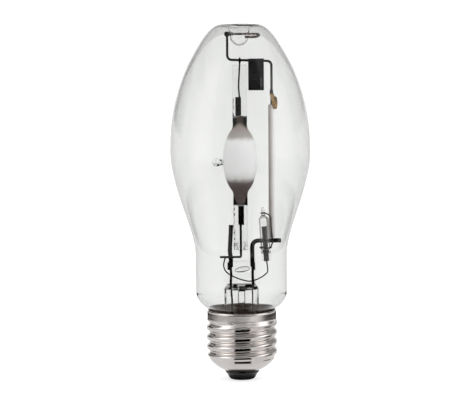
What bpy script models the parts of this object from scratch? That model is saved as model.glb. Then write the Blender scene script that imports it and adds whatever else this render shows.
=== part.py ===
"""Metal halide lamp: clear dimpled bulb, quartz arc tube on a wire frame, screw cap.

Metres, +Z up. The lamp stands on its cap, with the centre contact's underside at the origin.
The front, where the enhancer capsule hangs, faces -Y.
"""

import math

import bmesh
import bpy
from mathutils import Vector

MM = 0.001
CLEARANCE = 0.3 * MM  # left wherever one piece meets or passes another

# Screw shell, a 27 mm Edison cap rolled from sheet
CREST_R = 13.22 * MM
ROOT_R = 12.13 * MM
PITCH = 3.629 * MM
CREST_Z = 14.32 * MM  # a crest's height on the +X side
SHELL_WALL = 0.35 * MM
SKIRT_R = 12.93 * MM
RIM_R = 12.3 * MM
RIM_Z = 26.5 * MM
RIM_ROLL = 0.75 * MM
THREAD_TOP_Z = 23.4 * MM
THREAD_FOOT_Z = 8.0 * MM
THREAD_RUN_OUT = 1.9 * MM
FOOT_TOP_R = 12.2 * MM
FOOT_HOLE_R = 6.4 * MM
FOOT_HOLE_Z = 3.55 * MM

# Glass insulator and contact under the shell
INSULATOR_R = 6.45 * MM
INSULATOR_TIP_R = 4.0 * MM
INSULATOR_TIP_Z = 0.2 * MM
INSULATOR_SHOULDER_R = 5.0 * MM
INSULATOR_SHOULDER_Z = 1.3 * MM
INSULATOR_EDGE = 0.7 * MM
INSULATOR_FLOOR = 2.4 * MM
INSULATOR_THICK = 2.0 * MM
CONTACT_R = 3.0 * MM
CONTACT_THICK = 0.3 * MM
CONTACT_EDGE = 0.1 * MM

# Outer bulb
GLASS_WALL = 0.9 * MM
BULGE_R = 26.2 * MM
SHOULDER_R = 17.3 * MM
MOUTH_R = 6.3 * MM
DIMPLE_R = 3.1 * MM
DIMPLE_DEPTH = 7.6 * MM
DIMPLE_LIP = 2.3 * MM  # how soon the dimple's wall turns into the bulb's lip
NECK_R = 17.15 * MM
NECK_TOP_Z = 47.0 * MM
NECK_FOOT_Z = 33.8 * MM
THROAT_R = 13.1 * MM
THROAT_LIFT = 0.85 * MM  # the neck turns in this far above the cap's rim
THROAT_TURN = 4.4 * MM
SEAL_R = 9.9 * MM
SEAL_Z = 16.3 * MM
CEMENT_FOOT = 2.5 * MM  # how far the cement runs on below the seal

# How far each curve of the bulb runs straight on from its ends, out and up
CROWN_RUN = 4.6 * MM
SHOULDER_RUN_UP = (-3.2 * MM, 5.4 * MM)
SHOULDER_RUN_DOWN = (6.1 * MM, -10.4 * MM)
BULGE_RUN_UP = 12.5 * MM
BULGE_RUN_DOWN = 14.5 * MM
NECK_RUN_UP = 10.5 * MM
NECK_RUN_DOWN = 3.6 * MM
FOOT_RUN = (1.1 * MM, 0.6 * MM)

# Stem: press, tube and flare
PRESS_HALF_WIDTH = 5.25 * MM
PRESS_HALF_DEPTH = 2.3 * MM
PRESS_TOP_Z = 44.7 * MM
PRESS_FOOT_Z = 36.6 * MM
PRESS_EDGE = 0.5 * MM
PRESS_FOOT_TURN = 1.6 * MM
PRESS_FOOT_SPREAD = (0.2 * MM, 0.7 * MM)  # to the sides, and to front and back
STEM_SHOULDER_DRAW = (0.3 * MM, 1.4 * MM)  # as much less than the tube
STEM_TUBE_R = 6.45 * MM
STEM_TUBE_Z = 33.6 * MM
FLARE_START_Z = 23.5 * MM
FLARE_RUN = 4.5 * MM
STEM_ROOF = 1.0 * MM  # how far the stem's hollow domes up over its tube
EXHAUST_R = 1.55 * MM
EXHAUST_WALL = 0.5 * MM
EXHAUST_TIP_Z = 12.0 * MM
EXHAUST_TAPER = 4.0 * MM

# Wires
POST_D = 1.25 * MM
SEAL_LEAD_D = 0.75 * MM
OUTER_LEAD_D = 0.65 * MM
SHELL_LEAD_D = 0.5 * MM
FRAME_D = 0.8 * MM
LEAD_D = 0.6 * MM
LOWER_LEAD_D = 0.75 * MM
ENHANCER_LEAD_D = 0.5 * MM
HOLDER_D = 0.4 * MM
HOLDER_LEG = ((1.93, 9.3), (2.33, 5.0))  # out from the capsule and up from the hook, in millimetres
HOLDER_FOOT_X = 11.7 * MM
HOLDER_RING_Z = -2.3 * MM
LEFT_POST_X = -3.9 * MM
RIGHT_POST_X = 4.15 * MM
WIRE_BEND = 2.0 * MM
POST_SOCKET = 2.0 * MM  # how far a post is sunk in the press
LEFT_POST_LEAN = 0.35 * MM
LEFT_POST_KNEE = 4.2 * MM
HOOK_END_GAP = 1.25 * MM  # from the hook's end to the neck
HOOK_END_X = NECK_R - GLASS_WALL - HOOK_END_GAP
HOOK_BEND = 2.6 * MM
CROSSBAR_DROP = 2.5 * MM  # below the arc tube's lower end
CROSSBAR_END_X = -8.0 * MM
CROSSBAR_BEND = 1.1 * MM
CONTACT_LEAD_X = -3.2 * MM
SHELL_LEAD_TURN = math.radians(30)
FRAME_X = 11.6 * MM
FRAME_TOP_X = 11.9 * MM
FRAME_RISE = 0.6 * MM  # the top run climbs this much to the left
FRAME_BEND = 1.9 * MM
RING_R = 6.0 * MM
RING_DROP = 0.6 * MM

# Arc tube
ARC_X = -0.1 * MM
ARC_R = 6.4 * MM
ARC_HALF_HEIGHT = 13.0 * MM
ARC_WALL = 1.1 * MM
ARC_END_TURN = math.radians(62)  # where the barrel's curve gives way to a pinch
PINCH_HALF_WIDTH = 2.7 * MM
PINCH_HALF_DEPTH = 1.35 * MM
PINCH_EDGE = 0.25 * MM
PINCH_ROOT = 4.0 * MM  # from the barrel's end to the flat of the pinch
FOIL_WIDTH = 2.1 * MM
FOIL_THICK = 0.1 * MM
UPPER_FOIL_X = -0.6 * MM
LOWER_FOIL_X = 0.1 * MM
UPPER_FOIL_LENGTH = 10.7 * MM
LOWER_FOIL_LENGTH = 11.0 * MM
ELECTRODE_D = 0.6 * MM
ELECTRODE_REACH = 5.6 * MM  # from the foil's end to the electrode's tip
COIL_WIRE_D = 0.35 * MM
COIL_TURNS = 3
COIL_SETBACK = 0.6 * MM  # from the electrode's tip
TIP_BEAD_R = 1.6 * MM
TIP_NECK_R = 1.0 * MM
TIP_REACH = 10.3 * MM

# Getters
FLAG_X = (3.2 * MM, 9.05 * MM)
FLAG_LENGTH = 10.85 * MM
FLAG_THICK = 0.25 * MM
FLAG_PINCH = 2.0 * MM  # the leaves meet this far below the wire
GETTER_R = 2.4 * MM
GETTER_BORE_R = 1.0 * MM
GETTER_DEPTH = 0.9 * MM
GETTER_WALL = 0.2 * MM
GETTER_TURN = math.radians(14)
TAB_THICK = 0.25 * MM
TAB_SIDE = 0.45 * MM  # the tab leaves the wire to its left by this
CLIP_HEIGHT = 1.7 * MM
TAB_HEIGHT = 2.6 * MM

# Sleeve on the frame wire
SLEEVE_D = 2.45 * MM

# Heights, each worked out from the one that it stands on
HOOK_RISE = 7.8 * MM
LEFT_POST_RISE = 13.7 * MM
ARC_TUBE_RISE = 4.3 * MM
LOWER_REACH = 33.8 * MM  # from the arc tube's middle to its lower end
UPPER_REACH = 35.5 * MM
TIP_DROP = 0.8 * MM
LOWER_FOIL_DROP = 13.3 * MM
UPPER_FOIL_RISE = 12.9 * MM
BULGE_RISE = 3.8 * MM
FRAME_TOP_RISE = 1.3 * MM
TAB_DROP = 11.4 * MM
GETTER_DROP = 3.9 * MM
SLEEVE_DROP = 4.8 * MM
RING_RISE = 10.1 * MM
BULB_TOP_RISE = 3.8 * MM
DIMPLE_DROP = 4.5 * MM
SHOULDER_DROP = 11.1 * MM
HOOK_Z = PRESS_TOP_Z + HOOK_RISE
LEFT_POST_TOP_Z = PRESS_TOP_Z + LEFT_POST_RISE
LOWER_PINCH_END_Z = PRESS_TOP_Z + ARC_TUBE_RISE
ARC_Z = LOWER_PINCH_END_Z + LOWER_REACH
TIP_Z = ARC_Z - TIP_DROP
LOWER_FOIL_TOP_Z = ARC_Z - LOWER_FOIL_DROP
UPPER_FOIL_FOOT_Z = ARC_Z + UPPER_FOIL_RISE
UPPER_PINCH_END_Z = ARC_Z + UPPER_REACH
FRAME_TOP_Z = UPPER_PINCH_END_Z + FRAME_TOP_RISE
TAB_TOP_Z = FRAME_TOP_Z - TAB_DROP
GETTER_Z = TAB_TOP_Z - GETTER_DROP
SLEEVE_TOP_Z = TAB_TOP_Z - SLEEVE_DROP
RING_Z = FRAME_TOP_Z + RING_RISE
BULB_TOP_Z = RING_Z + BULB_TOP_RISE
DIMPLE_Z = BULB_TOP_Z - DIMPLE_DROP
SHOULDER_Z = BULB_TOP_Z - SHOULDER_DROP
BULGE_Z = ARC_Z + BULGE_RISE
LOWER_FOIL_Z = (LOWER_FOIL_TOP_Z - LOWER_FOIL_LENGTH, LOWER_FOIL_TOP_Z)
UPPER_FOIL_Z = (UPPER_FOIL_FOOT_Z, UPPER_FOIL_FOOT_Z + UPPER_FOIL_LENGTH)

# Enhancer capsule, heights from where it passes the hook
CAPSULE_X = 8.97 * MM
CAPSULE_TILT = math.radians(-3.5)
CAPSULE_R = 1.85 * MM
CAPSULE_WALL = 0.5 * MM
CAPSULE_TIP = 12.9 * MM
CAPSULE_SHOULDER = 9.8 * MM
CAPSULE_FOOT = -3.4 * MM
CAPSULE_PINCH_END = -7.2 * MM
CAPSULE_PINCH_HALF_WIDTH = 1.7 * MM
CAPSULE_PINCH_HALF_DEPTH = 0.8 * MM
CAPSULE_PINCH_ROOT = 1.2 * MM
NIPPLE_R = 0.55 * MM
NIPPLE_ROOT = 0.9 * MM
NIPPLE_TAPER = 0.35 * MM
CAPSULE_FOIL_WIDTH = 1.9 * MM
CAPSULE_FOIL = (-7.5 * MM, 5.7 * MM)

# Where the enhancer's lead hangs, in millimetres
ENHANCER_LEAD_ROUTE = (
    (9.85, -2.8, 41.7), (9.2, -2.9, 40.3), (6.8, -3.2, 38.7), (3.4, -3.5, 37.6), (0.1, -3.5, 38.2),
    (-3.2, -3.3, 39.5), (-5.7, -2.9, 41.2), (-6.6, -2.6, 43.6),
)

# Facets
BULB_SEGMENTS = 32
SHELL_SEGMENTS = 28
FOOT_ROWS = 4
ROWS_PER_PITCH = 5
LATHE_SEGMENTS = 20
SECTION_POINTS = 16
FINE_WIRE_D = 0.7 * MM  # thinner wires get six sides instead of eight


def clear_scene():
    for thing in list(bpy.data.objects):
        bpy.data.objects.remove(thing)


def surface(name, colour, roughness, metallic=0.0, transmission=0.0):
    material = bpy.data.materials.new(name)
    material.use_nodes = True
    shader = material.node_tree.nodes["Principled BSDF"]
    shader.inputs["Base Color"].default_value = (*colour, 1.0)
    shader.inputs["Roughness"].default_value = roughness
    shader.inputs["Metallic"].default_value = metallic
    shader.inputs["Transmission Weight"].default_value = transmission
    material.diffuse_color = (*colour, 1.0)
    return material


def solid(name, mesh_builder, material):
    """Makes an object from a bmesh whose faces form one closed skin."""
    bmesh.ops.recalc_face_normals(mesh_builder, faces=mesh_builder.faces)
    mesh = bpy.data.meshes.new(name)
    mesh_builder.to_mesh(mesh)
    mesh_builder.free()
    mesh.shade_smooth()
    mesh.set_sharp_from_angle(angle=math.radians(40))
    mesh.materials.append(material)
    thing = bpy.data.objects.new(name, mesh)
    bpy.context.collection.objects.link(thing)
    return thing


def loft(name, rings, material, through=False):
    """Skins a row of rings. A ring of one point closes an end, and so does a flat face.

    A piece with a hole through it is skinned down its outside and back up its bore.
    """
    builder = bmesh.new()
    rows = [[builder.verts.new(point) for point in ring] for ring in rings]
    pairs = list(zip(rows, rows[1:]))
    if through:
        pairs.append((rows[-1], rows[0]))
    for near, far in pairs:
        count = max(len(near), len(far))
        for i in range(count):
            j = (i + 1) % count
            corners = [near[i % len(near)], near[j % len(near)], far[j % len(far)], far[i % len(far)]]
            builder.faces.new(dict.fromkeys(corners))
    if not through:
        for row in (rows[0], rows[-1]):
            if len(row) > 2:
                builder.faces.new(row)
    return solid(name, builder, material)


def circle(radius, z, segments):
    if radius < 1e-9:
        return [(0.0, 0.0, z)]
    turns = [2 * math.pi * i / segments for i in range(segments)]
    return [(radius * math.cos(a), radius * math.sin(a), z) for a in turns]


def lathe(name, outline, material, segments=LATHE_SEGMENTS):
    """Turns an outline of (radius, z) round Z. It runs from axis to axis, or is a closed loop."""
    rings = [circle(r, z, segments) for r, z in outline]
    return loft(name, rings, material, through=len(rings[0]) > 1)


def section(half_x, half_y, z, squareness=2.0, centre_x=0.0):
    """An oval across Z, or a rounded box where squareness is well over 2."""
    ring = []
    for i in range(SECTION_POINTS):
        a = 2 * math.pi * (i + 0.5) / SECTION_POINTS
        x = math.copysign(abs(math.cos(a)) ** (2 / squareness), math.cos(a))
        y = math.copysign(abs(math.sin(a)) ** (2 / squareness), math.sin(a))
        ring.append((centre_x + half_x * x, half_y * y, z))
    return ring


def bezier(start, leave, arrive, end, count):
    """Points on a cubic curve in (radius, z), its last one left to the stretch that follows."""
    start, leave, arrive, end = (Vector(p) for p in (start, leave, arrive, end))
    points = []
    for i in range(count):
        t = i / count
        u = 1 - t
        points.append(u ** 3 * start + 3 * u * u * t * leave + 3 * u * t * t * arrive + t ** 3 * end)
    return points


def offset(outline, distance):
    """Moves an open outline to the right of its direction of travel."""
    moved = []
    last = len(outline) - 1
    for i, point in enumerate(outline):
        along = (Vector(outline[min(i + 1, last)]) - Vector(outline[max(i - 1, 0)])).normalized()
        moved.append(Vector(point) + distance * Vector((along.y, -along.x)))
    return moved


def wire(name, points, diameter, material):
    """A round wire along a path, with flat ends."""
    curve = bpy.data.curves.new(name, "CURVE")
    curve.dimensions = "3D"
    curve.bevel_depth = diameter / 2
    curve.bevel_resolution = 2 if diameter > FINE_WIRE_D else 1
    curve.use_fill_caps = True
    spline = curve.splines.new("POLY")
    spline.points.add(len(points) - 1)
    for knot, place in zip(spline.points, points):
        knot.co = (*place, 1.0)
    curve.materials.append(material)
    thing = bpy.data.objects.new(name, curve)
    bpy.context.collection.objects.link(thing)
    return thing


def bent(corners, radius, steps=4):
    """Straight runs between corners, with each corner rounded to the radius where it has room."""
    corners = [Vector(corner) for corner in corners]
    path = [corners[0]]
    for before, corner, after in zip(corners, corners[1:], corners[2:]):
        back, on = before - corner, after - corner
        turn = math.pi - back.angle(on)
        if turn < 0.02:
            path.append(corner)
            continue
        room = min(back.length, on.length) * 0.49
        setback = min(radius * math.tan(turn / 2), room)
        first, last = corner + back.normalized() * setback, corner + on.normalized() * setback
        for i in range(steps + 1):
            t = i / steps
            path.append((1 - t) ** 2 * first + 2 * t * (1 - t) * corner + t * t * last)
    path.append(corners[-1])
    return path


def smooth(points, steps=3):
    """A curve through every point."""
    points = [Vector(point) for point in points]
    path = []
    for i in range(len(points) - 1):
        before, start = points[max(i - 1, 0)], points[i]
        end, after = points[i + 1], points[min(i + 2, len(points) - 1)]
        for k in range(steps):
            t = k / steps
            path.append(
                0.5 * (2 * start + (end - before) * t + (2 * before - 5 * start + 4 * end - after) * t * t
                       + (3 * start - before - 3 * end + after) * t ** 3)
            )
    path.append(points[-1])
    return path


def cylinder(name, radius, low, high, x=0.0, y=0.0):
    """A cutter along Z, which isn't part of the lamp."""
    rings = [circle(radius, z, 12) for z in (low, high)]
    cutter = loft(name, rings, None)
    cutter.location = (x, y, 0.0)
    cutter.hide_render = True
    cutter.display_type = "WIRE"
    return cutter


def combine(thing, tool, operation):
    step = thing.modifiers.new(tool.name, "BOOLEAN")
    step.operation = operation
    step.object = tool
    step.solver = "EXACT"
    tool.hide_render = True
    tool.display_type = "WIRE"


def ease(t):
    t = min(max(t, 0.0), 1.0)
    return t * t * (3 - 2 * t)


def dimple_outline():
    """The air side of the dimple, from its closed bottom up to the bulb's lip."""
    floor_z = BULB_TOP_Z - DIMPLE_DEPTH
    bowl = bezier((0.0, floor_z), (DIMPLE_R * 0.55, floor_z), (DIMPLE_R, floor_z + DIMPLE_R * 0.5),
                  (DIMPLE_R, DIMPLE_Z), 4)
    lip = bezier((DIMPLE_R, DIMPLE_Z), (DIMPLE_R, DIMPLE_Z + DIMPLE_LIP),
                 (MOUTH_R - DIMPLE_LIP, BULB_TOP_Z), (MOUTH_R, BULB_TOP_Z), 3)
    return bowl + lip


def throat_outline():
    """Where the neck turns in under its foot and runs down inside the cap to the seal."""
    throat_z = RIM_Z + THROAT_LIFT
    turned_z = throat_z - THROAT_TURN
    turn = bezier((THROAT_R, throat_z), (THROAT_R - THROAT_TURN * 0.36, throat_z - THROAT_TURN * 0.2),
                  (SEAL_R, throat_z - THROAT_TURN * 0.36), (SEAL_R, turned_z), 4)
    return turn + [Vector((SEAL_R, turned_z)), Vector((SEAL_R, SEAL_Z))]


def bulb_outline():
    """The bulb's air side, from the bottom of the dimple to the seal inside the cap."""
    mouth, shoulder = Vector((MOUTH_R, BULB_TOP_Z)), Vector((SHOULDER_R, SHOULDER_Z))
    bulge, neck = Vector((BULGE_R, BULGE_Z)), Vector((NECK_R, NECK_TOP_Z))
    neck_foot, throat = Vector((NECK_R, NECK_FOOT_Z)), Vector((THROAT_R, RIM_Z + THROAT_LIFT))
    up = Vector((0.0, 1.0))
    crown_run = Vector((CROWN_RUN, 0.0))
    crown = bezier(mouth, mouth + crown_run, shoulder + Vector(SHOULDER_RUN_UP), shoulder, 4)
    upper = bezier(shoulder, shoulder + Vector(SHOULDER_RUN_DOWN), bulge + up * BULGE_RUN_UP, bulge, 5)
    lower = bezier(bulge, bulge - up * BULGE_RUN_DOWN, neck + up * NECK_RUN_UP, neck, 6)
    foot = bezier(neck_foot, neck_foot - up * NECK_RUN_DOWN, throat + Vector(FOOT_RUN), throat, 4)
    return dimple_outline() + crown + upper + lower + [neck] + foot + throat_outline()


def make_bulb(glass):
    outer = bulb_outline()
    inner = offset(outer, GLASS_WALL)
    inner[0] = Vector((0.0, outer[0].y - GLASS_WALL))
    return lathe("outer_bulb", outer + inner[::-1], glass, BULB_SEGMENTS)


def radius_at(outline, z):
    """An outline's radius at a height that it passes on its way down."""
    for above, below in zip(outline, outline[1:]):
        if above.y >= z > below.y:
            return below.x + (above.x - below.x) * (z - below.y) / (above.y - below.y)


def thread_radius(z, turn):
    """The rolled shell's outer radius, a rounded right-hand thread that fades into skirt and foot."""
    wave = math.cos(2 * math.pi * (z - CREST_Z) / PITCH - turn)
    radius = (CREST_R + ROOT_R) / 2 + (CREST_R - ROOT_R) / 2 * wave
    into_skirt = ease((z - THREAD_TOP_Z) / THREAD_RUN_OUT + 1)
    into_foot = ease((THREAD_FOOT_Z - z) / THREAD_RUN_OUT + 1)
    radius += (SKIRT_R - radius) * into_skirt
    return radius + (FOOT_TOP_R - radius) * into_foot


def shell_outline(turn):
    rim = [Vector((RIM_R, RIM_Z)), Vector((SKIRT_R - RIM_ROLL * 0.25, RIM_Z - RIM_ROLL * 0.4)),
           Vector((SKIRT_R, RIM_Z - RIM_ROLL))]
    rows = round((THREAD_TOP_Z - THREAD_FOOT_Z) / PITCH * ROWS_PER_PITCH)
    thread = []
    for i in range(rows):
        z = THREAD_TOP_Z + (THREAD_FOOT_Z - THREAD_TOP_Z) * i / rows
        thread.append(Vector((thread_radius(z, turn), z)))
    reach = FOOT_TOP_R - FOOT_HOLE_R
    drop = THREAD_FOOT_Z - FOOT_HOLE_Z
    foot = bezier((FOOT_TOP_R, THREAD_FOOT_Z), (FOOT_TOP_R - reach * 0.12, THREAD_FOOT_Z - drop * 0.32),
                  (FOOT_HOLE_R + reach * 0.42, FOOT_HOLE_Z + drop * 0.2), (FOOT_HOLE_R, FOOT_HOLE_Z),
                  FOOT_ROWS)
    return rim + thread + foot + [Vector((FOOT_HOLE_R, FOOT_HOLE_Z))]


def make_screw_shell(nickel):
    columns = []
    for i in range(SHELL_SEGMENTS):
        turn = 2 * math.pi * i / SHELL_SEGMENTS
        outer = shell_outline(turn)
        inner = offset(outer, SHELL_WALL)
        columns.append([(r * math.cos(turn), r * math.sin(turn), z) for r, z in outer + inner[::-1]])
    return loft("screw_shell", list(zip(*columns)), nickel, through=True)


def make_insulator(black_glass):
    """A thick glass cup under the shell, with a hole for the lead and a seat for the contact."""
    inside = offset(shell_outline(0.0), SHELL_WALL + CLEARANCE)[-1 - FOOT_ROWS:]
    hole_r = OUTER_LEAD_D / 2 + CLEARANCE
    step_z = FOOT_HOLE_Z - CLEARANCE
    waist_r = FOOT_HOLE_R - CLEARANCE
    seat_r = CONTACT_R + CLEARANCE
    seat_z = CONTACT_THICK + CLEARANCE
    step = [(waist_r, inside[-1].y), (waist_r, step_z), (INSULATOR_R, step_z - INSULATOR_EDGE / 4)]
    rim = bezier((INSULATOR_R - INSULATOR_EDGE / 2, step_z - INSULATOR_EDGE),
                 (INSULATOR_SHOULDER_R, INSULATOR_SHOULDER_Z), (INSULATOR_SHOULDER_R, INSULATOR_TIP_Z),
                 (INSULATOR_TIP_R, INSULATOR_TIP_Z), 5)
    seat = [(INSULATOR_TIP_R, INSULATOR_TIP_Z), (seat_r, INSULATOR_TIP_Z), (seat_r, seat_z),
            (hole_r, seat_z)]
    cup = [(hole_r, seat_z + INSULATOR_FLOOR), (inside[0].x - INSULATOR_THICK, inside[0].y)]
    outline = inside + [Vector(point) for point in step] + rim + [Vector(point) for point in seat + cup]
    return lathe("cap_insulator", outline, black_glass)


def make_contact(brass):
    """A pressed disc with a flat underside and a rounded edge."""
    outline = [(0.0, 0.0), (CONTACT_R - CONTACT_EDGE, 0.0), (CONTACT_R, CONTACT_EDGE),
               (CONTACT_R, CONTACT_THICK), (0.0, CONTACT_THICK)]
    return lathe("contact_plate", outline, brass)


def make_cement(cement):
    """Fills the cap round the bulb's neck, with a groove for the lead to the shell."""
    top_z = RIM_Z - RIM_ROLL - CLEARANCE
    foot_z = SEAL_Z - CEMENT_FOOT
    glass = offset(throat_outline(), -CLEARANCE)
    thread_r = ROOT_R - SHELL_WALL - CLEARANCE
    skirt_r = SKIRT_R - SHELL_WALL - CLEARANCE
    outline = [Vector((radius_at(glass, top_z), top_z))]
    outline += [point for point in glass[:-1] if point.y < top_z]
    outline += [Vector((SEAL_R + CLEARANCE, foot_z)), Vector((thread_r, foot_z))]
    outline += [Vector((thread_r, THREAD_TOP_Z - THREAD_RUN_OUT))]
    outline += [Vector((skirt_r, THREAD_TOP_Z + CLEARANCE)), Vector((skirt_r, top_z))]
    ring = lathe("basing_cement", outline, cement, BULB_SEGMENTS)
    groove = cylinder("lead_groove", SHELL_LEAD_D / 2 + CLEARANCE, foot_z - MM, RIM_Z + MM,
                      *shell_lead_place())
    combine(ring, groove, "DIFFERENCE")
    return ring


def shell_lead_place():
    """Where the shell's lead runs up, trapped between the cement and the shell."""
    reach = ROOT_R - SHELL_WALL - CLEARANCE - SHELL_LEAD_D / 2
    return reach * math.cos(SHELL_LEAD_TURN), reach * math.sin(SHELL_LEAD_TURN)


def flare_outline():
    """The stem tube's outer side, from under the press to the rim that the neck is sealed to."""
    rim_z = SEAL_Z - CLEARANCE
    tube = [Vector((STEM_TUBE_R, STEM_TUBE_Z))]
    flare = bezier((STEM_TUBE_R, FLARE_START_Z), (STEM_TUBE_R, FLARE_START_Z - FLARE_RUN),
                   (STEM_TUBE_R + FLARE_RUN * 0.25, rim_z), (SEAL_R, rim_z), 6)
    return tube + flare + [Vector((SEAL_R, rim_z))]


def make_stem(glass):
    """Press, tube and flare, blown and pressed as one piece of glass round two leads."""
    outer = flare_outline()
    inner = offset(outer, GLASS_WALL)
    half_w, half_d = PRESS_HALF_WIDTH, PRESS_HALF_DEPTH
    middle_z = (PRESS_FOOT_Z + STEM_TUBE_Z) / 2
    rings = [
        section(half_w - PRESS_EDGE, half_d - PRESS_EDGE, PRESS_TOP_Z, 5),
        section(half_w, half_d, PRESS_TOP_Z - PRESS_EDGE, 6),
        section(half_w, half_d, PRESS_FOOT_Z + PRESS_FOOT_TURN, 6),
        section(half_w + PRESS_FOOT_SPREAD[0], half_d + PRESS_FOOT_SPREAD[1], PRESS_FOOT_Z, 4),
        section(STEM_TUBE_R - STEM_SHOULDER_DRAW[0], STEM_TUBE_R - STEM_SHOULDER_DRAW[1], middle_z, 2.3),
    ]
    rings += [section(r, r, z) for r, z in outer]
    rings += [section(r, r, z) for r, z in inner[::-1]]
    roof_r = STEM_TUBE_R - GLASS_WALL - STEM_ROOF
    rings += [section(roof_r, roof_r * 0.9, STEM_TUBE_Z + STEM_ROOF)]
    stem = loft("stem_flare", rings, glass)
    for side, x in (("left", LEFT_POST_X), ("right", RIGHT_POST_X)):
        bore = cylinder(side + "_bore", SEAL_LEAD_D / 2 + CLEARANCE, STEM_TUBE_Z, PRESS_TOP_Z + MM, x)
        socket = cylinder(side + "_socket", POST_D / 2 + CLEARANCE, PRESS_TOP_Z - POST_SOCKET - CLEARANCE,
                          PRESS_TOP_Z + MM, x)
        combine(stem, bore, "DIFFERENCE")
        combine(stem, socket, "DIFFERENCE")
    return stem


def make_exhaust_tube(glass):
    """The tube that the bulb was pumped through, melted shut at its lower end."""
    top_z = STEM_TUBE_Z + STEM_ROOF - CLEARANCE
    bore_r = EXHAUST_R - EXHAUST_WALL
    shares = [(1.0, 1.0), (0.7, 0.38), (0.3, 0.05), (0.0, 0.0)]
    outer = [(EXHAUST_R * out, EXHAUST_TIP_Z + EXHAUST_TAPER * up) for out, up in shares]
    bore = [(0.0, EXHAUST_TIP_Z + EXHAUST_TAPER * 0.75), (bore_r, EXHAUST_TIP_Z + EXHAUST_TAPER * 1.1)]
    return lathe("exhaust_tube", bore + [(bore_r, top_z), (EXHAUST_R, top_z)] + outer, glass)


def make_posts(nickel_wire):
    foot_z = PRESS_TOP_Z - POST_SOCKET
    left = [(LEFT_POST_X, 0, foot_z), (LEFT_POST_X, 0, PRESS_TOP_Z + CLEARANCE),
            (LEFT_POST_X - LEFT_POST_LEAN, 0, PRESS_TOP_Z + LEFT_POST_KNEE),
            (LEFT_POST_X + LEFT_POST_LEAN / 2, 0, LEFT_POST_TOP_Z)]
    wire("left_post", left, POST_D, nickel_wire)
    right = [(RIGHT_POST_X, 0, foot_z), (RIGHT_POST_X, 0, HOOK_Z), (HOOK_END_X, 0, HOOK_Z)]
    wire("right_post", bent(right, HOOK_BEND, 7), POST_D, nickel_wire)


def make_stem_leads(lead_metal, copper):
    """Each seal lead is butted to a post above it and to an outer lead below it, with a weld's gap."""
    top_z = PRESS_TOP_Z - POST_SOCKET - CLEARANCE
    joint_z = STEM_TUBE_Z - CLEARANCE
    for name, x in (("left_seal_lead", LEFT_POST_X), ("right_seal_lead", RIGHT_POST_X)):
        wire(name, [(x, 0, top_z), (x, 0, joint_z)], SEAL_LEAD_D, lead_metal)
    start_z = joint_z - CLEARANCE
    contact_z = CONTACT_THICK + CLEARANCE
    down = [(LEFT_POST_X, 0, start_z), (CONTACT_LEAD_X, 0, start_z - EXHAUST_TAPER),
            (CONTACT_LEAD_X, 0, EXHAUST_TIP_Z), (0, 0, INSULATOR_FLOOR + EXHAUST_TAPER),
            (0, 0, contact_z)]
    wire("contact_lead", bent(down, WIRE_BEND), OUTER_LEAD_D, copper)
    groove_x, groove_y = shell_lead_place()
    under_z = SEAL_Z - CEMENT_FOOT - CLEARANCE - SHELL_LEAD_D
    across = [(RIGHT_POST_X, 0, start_z), (RIGHT_POST_X, 0, under_z), (groove_x, groove_y, under_z),
              (groove_x, groove_y, THREAD_TOP_Z)]
    wire("shell_lead", bent(across, WIRE_BEND / 2), SHELL_LEAD_D, copper)


def frame_y():
    """The frame wire runs behind the hook that it is welded to."""
    return POST_D / 2 + CLEARANCE + FRAME_D / 2


def ring_centre_x():
    """The frame's top ring hangs on the dimple by its left side."""
    dimple_r = DIMPLE_R + GLASS_WALL + CLEARANCE
    return RING_R - dimple_r - FRAME_D / 2


def frame_top_z(x):
    """The height of the frame's top run."""
    left_x = ring_centre_x() - RING_R
    return FRAME_TOP_Z + FRAME_RISE * (FRAME_TOP_X - x) / (FRAME_TOP_X - left_x)


def make_frame(steel):
    """One wire from the hook up to a loose ring round the bulb's dimple."""
    y = frame_y()
    centre_x = ring_centre_x()
    first = math.pi - math.asin(y / RING_R)
    left_x = centre_x + RING_R * math.cos(first)
    corners = [(FRAME_X, y, HOOK_Z - POST_D / 2), (FRAME_TOP_X, y, FRAME_TOP_Z),
               (left_x, y, frame_top_z(left_x)), (left_x, y, RING_Z)]
    sweep = math.radians(340)
    steps = 16
    for i in range(1, steps + 1):
        turn = first + sweep * i / steps
        drop = RING_DROP * math.sin(min(i / steps, 0.5) * math.pi)
        corners.append((centre_x + RING_R * math.cos(turn), RING_R * math.sin(turn), RING_Z - drop))
    upright = bent(corners[:5], FRAME_BEND)
    return wire("frame_wire", upright + [Vector(corner) for corner in corners[5:]], FRAME_D, steel)


def make_sleeve(quartz):
    """A quartz tube slipped over the frame wire, resting on the hook."""
    foot_z = HOOK_Z + POST_D / 2 + CLEARANCE
    bore_r = FRAME_D / 2 + CLEARANCE
    lean = (FRAME_TOP_X - FRAME_X) / (FRAME_TOP_Z - HOOK_Z + POST_D / 2)
    length = SLEEVE_TOP_Z - foot_z
    edge = 0.15 * MM
    outline = [(SLEEVE_D / 2, edge), (SLEEVE_D / 2, length - edge), (SLEEVE_D / 2 - edge, length),
               (bore_r, length), (bore_r, 0.0), (SLEEVE_D / 2 - edge, 0.0)]
    sleeve = lathe("frame_sleeve", outline, quartz, 16)
    sleeve.location = (FRAME_X + lean * (foot_z - HOOK_Z + POST_D / 2), frame_y(), foot_z)
    sleeve.rotation_euler = (0.0, math.atan(lean), 0.0)
    return sleeve


def frame_x(z):
    """Where the frame's right-hand upright stands at a height."""
    share = (z - HOOK_Z + POST_D / 2) / (FRAME_TOP_Z - HOOK_Z + POST_D / 2)
    return FRAME_X + (FRAME_TOP_X - FRAME_X) * share


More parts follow.
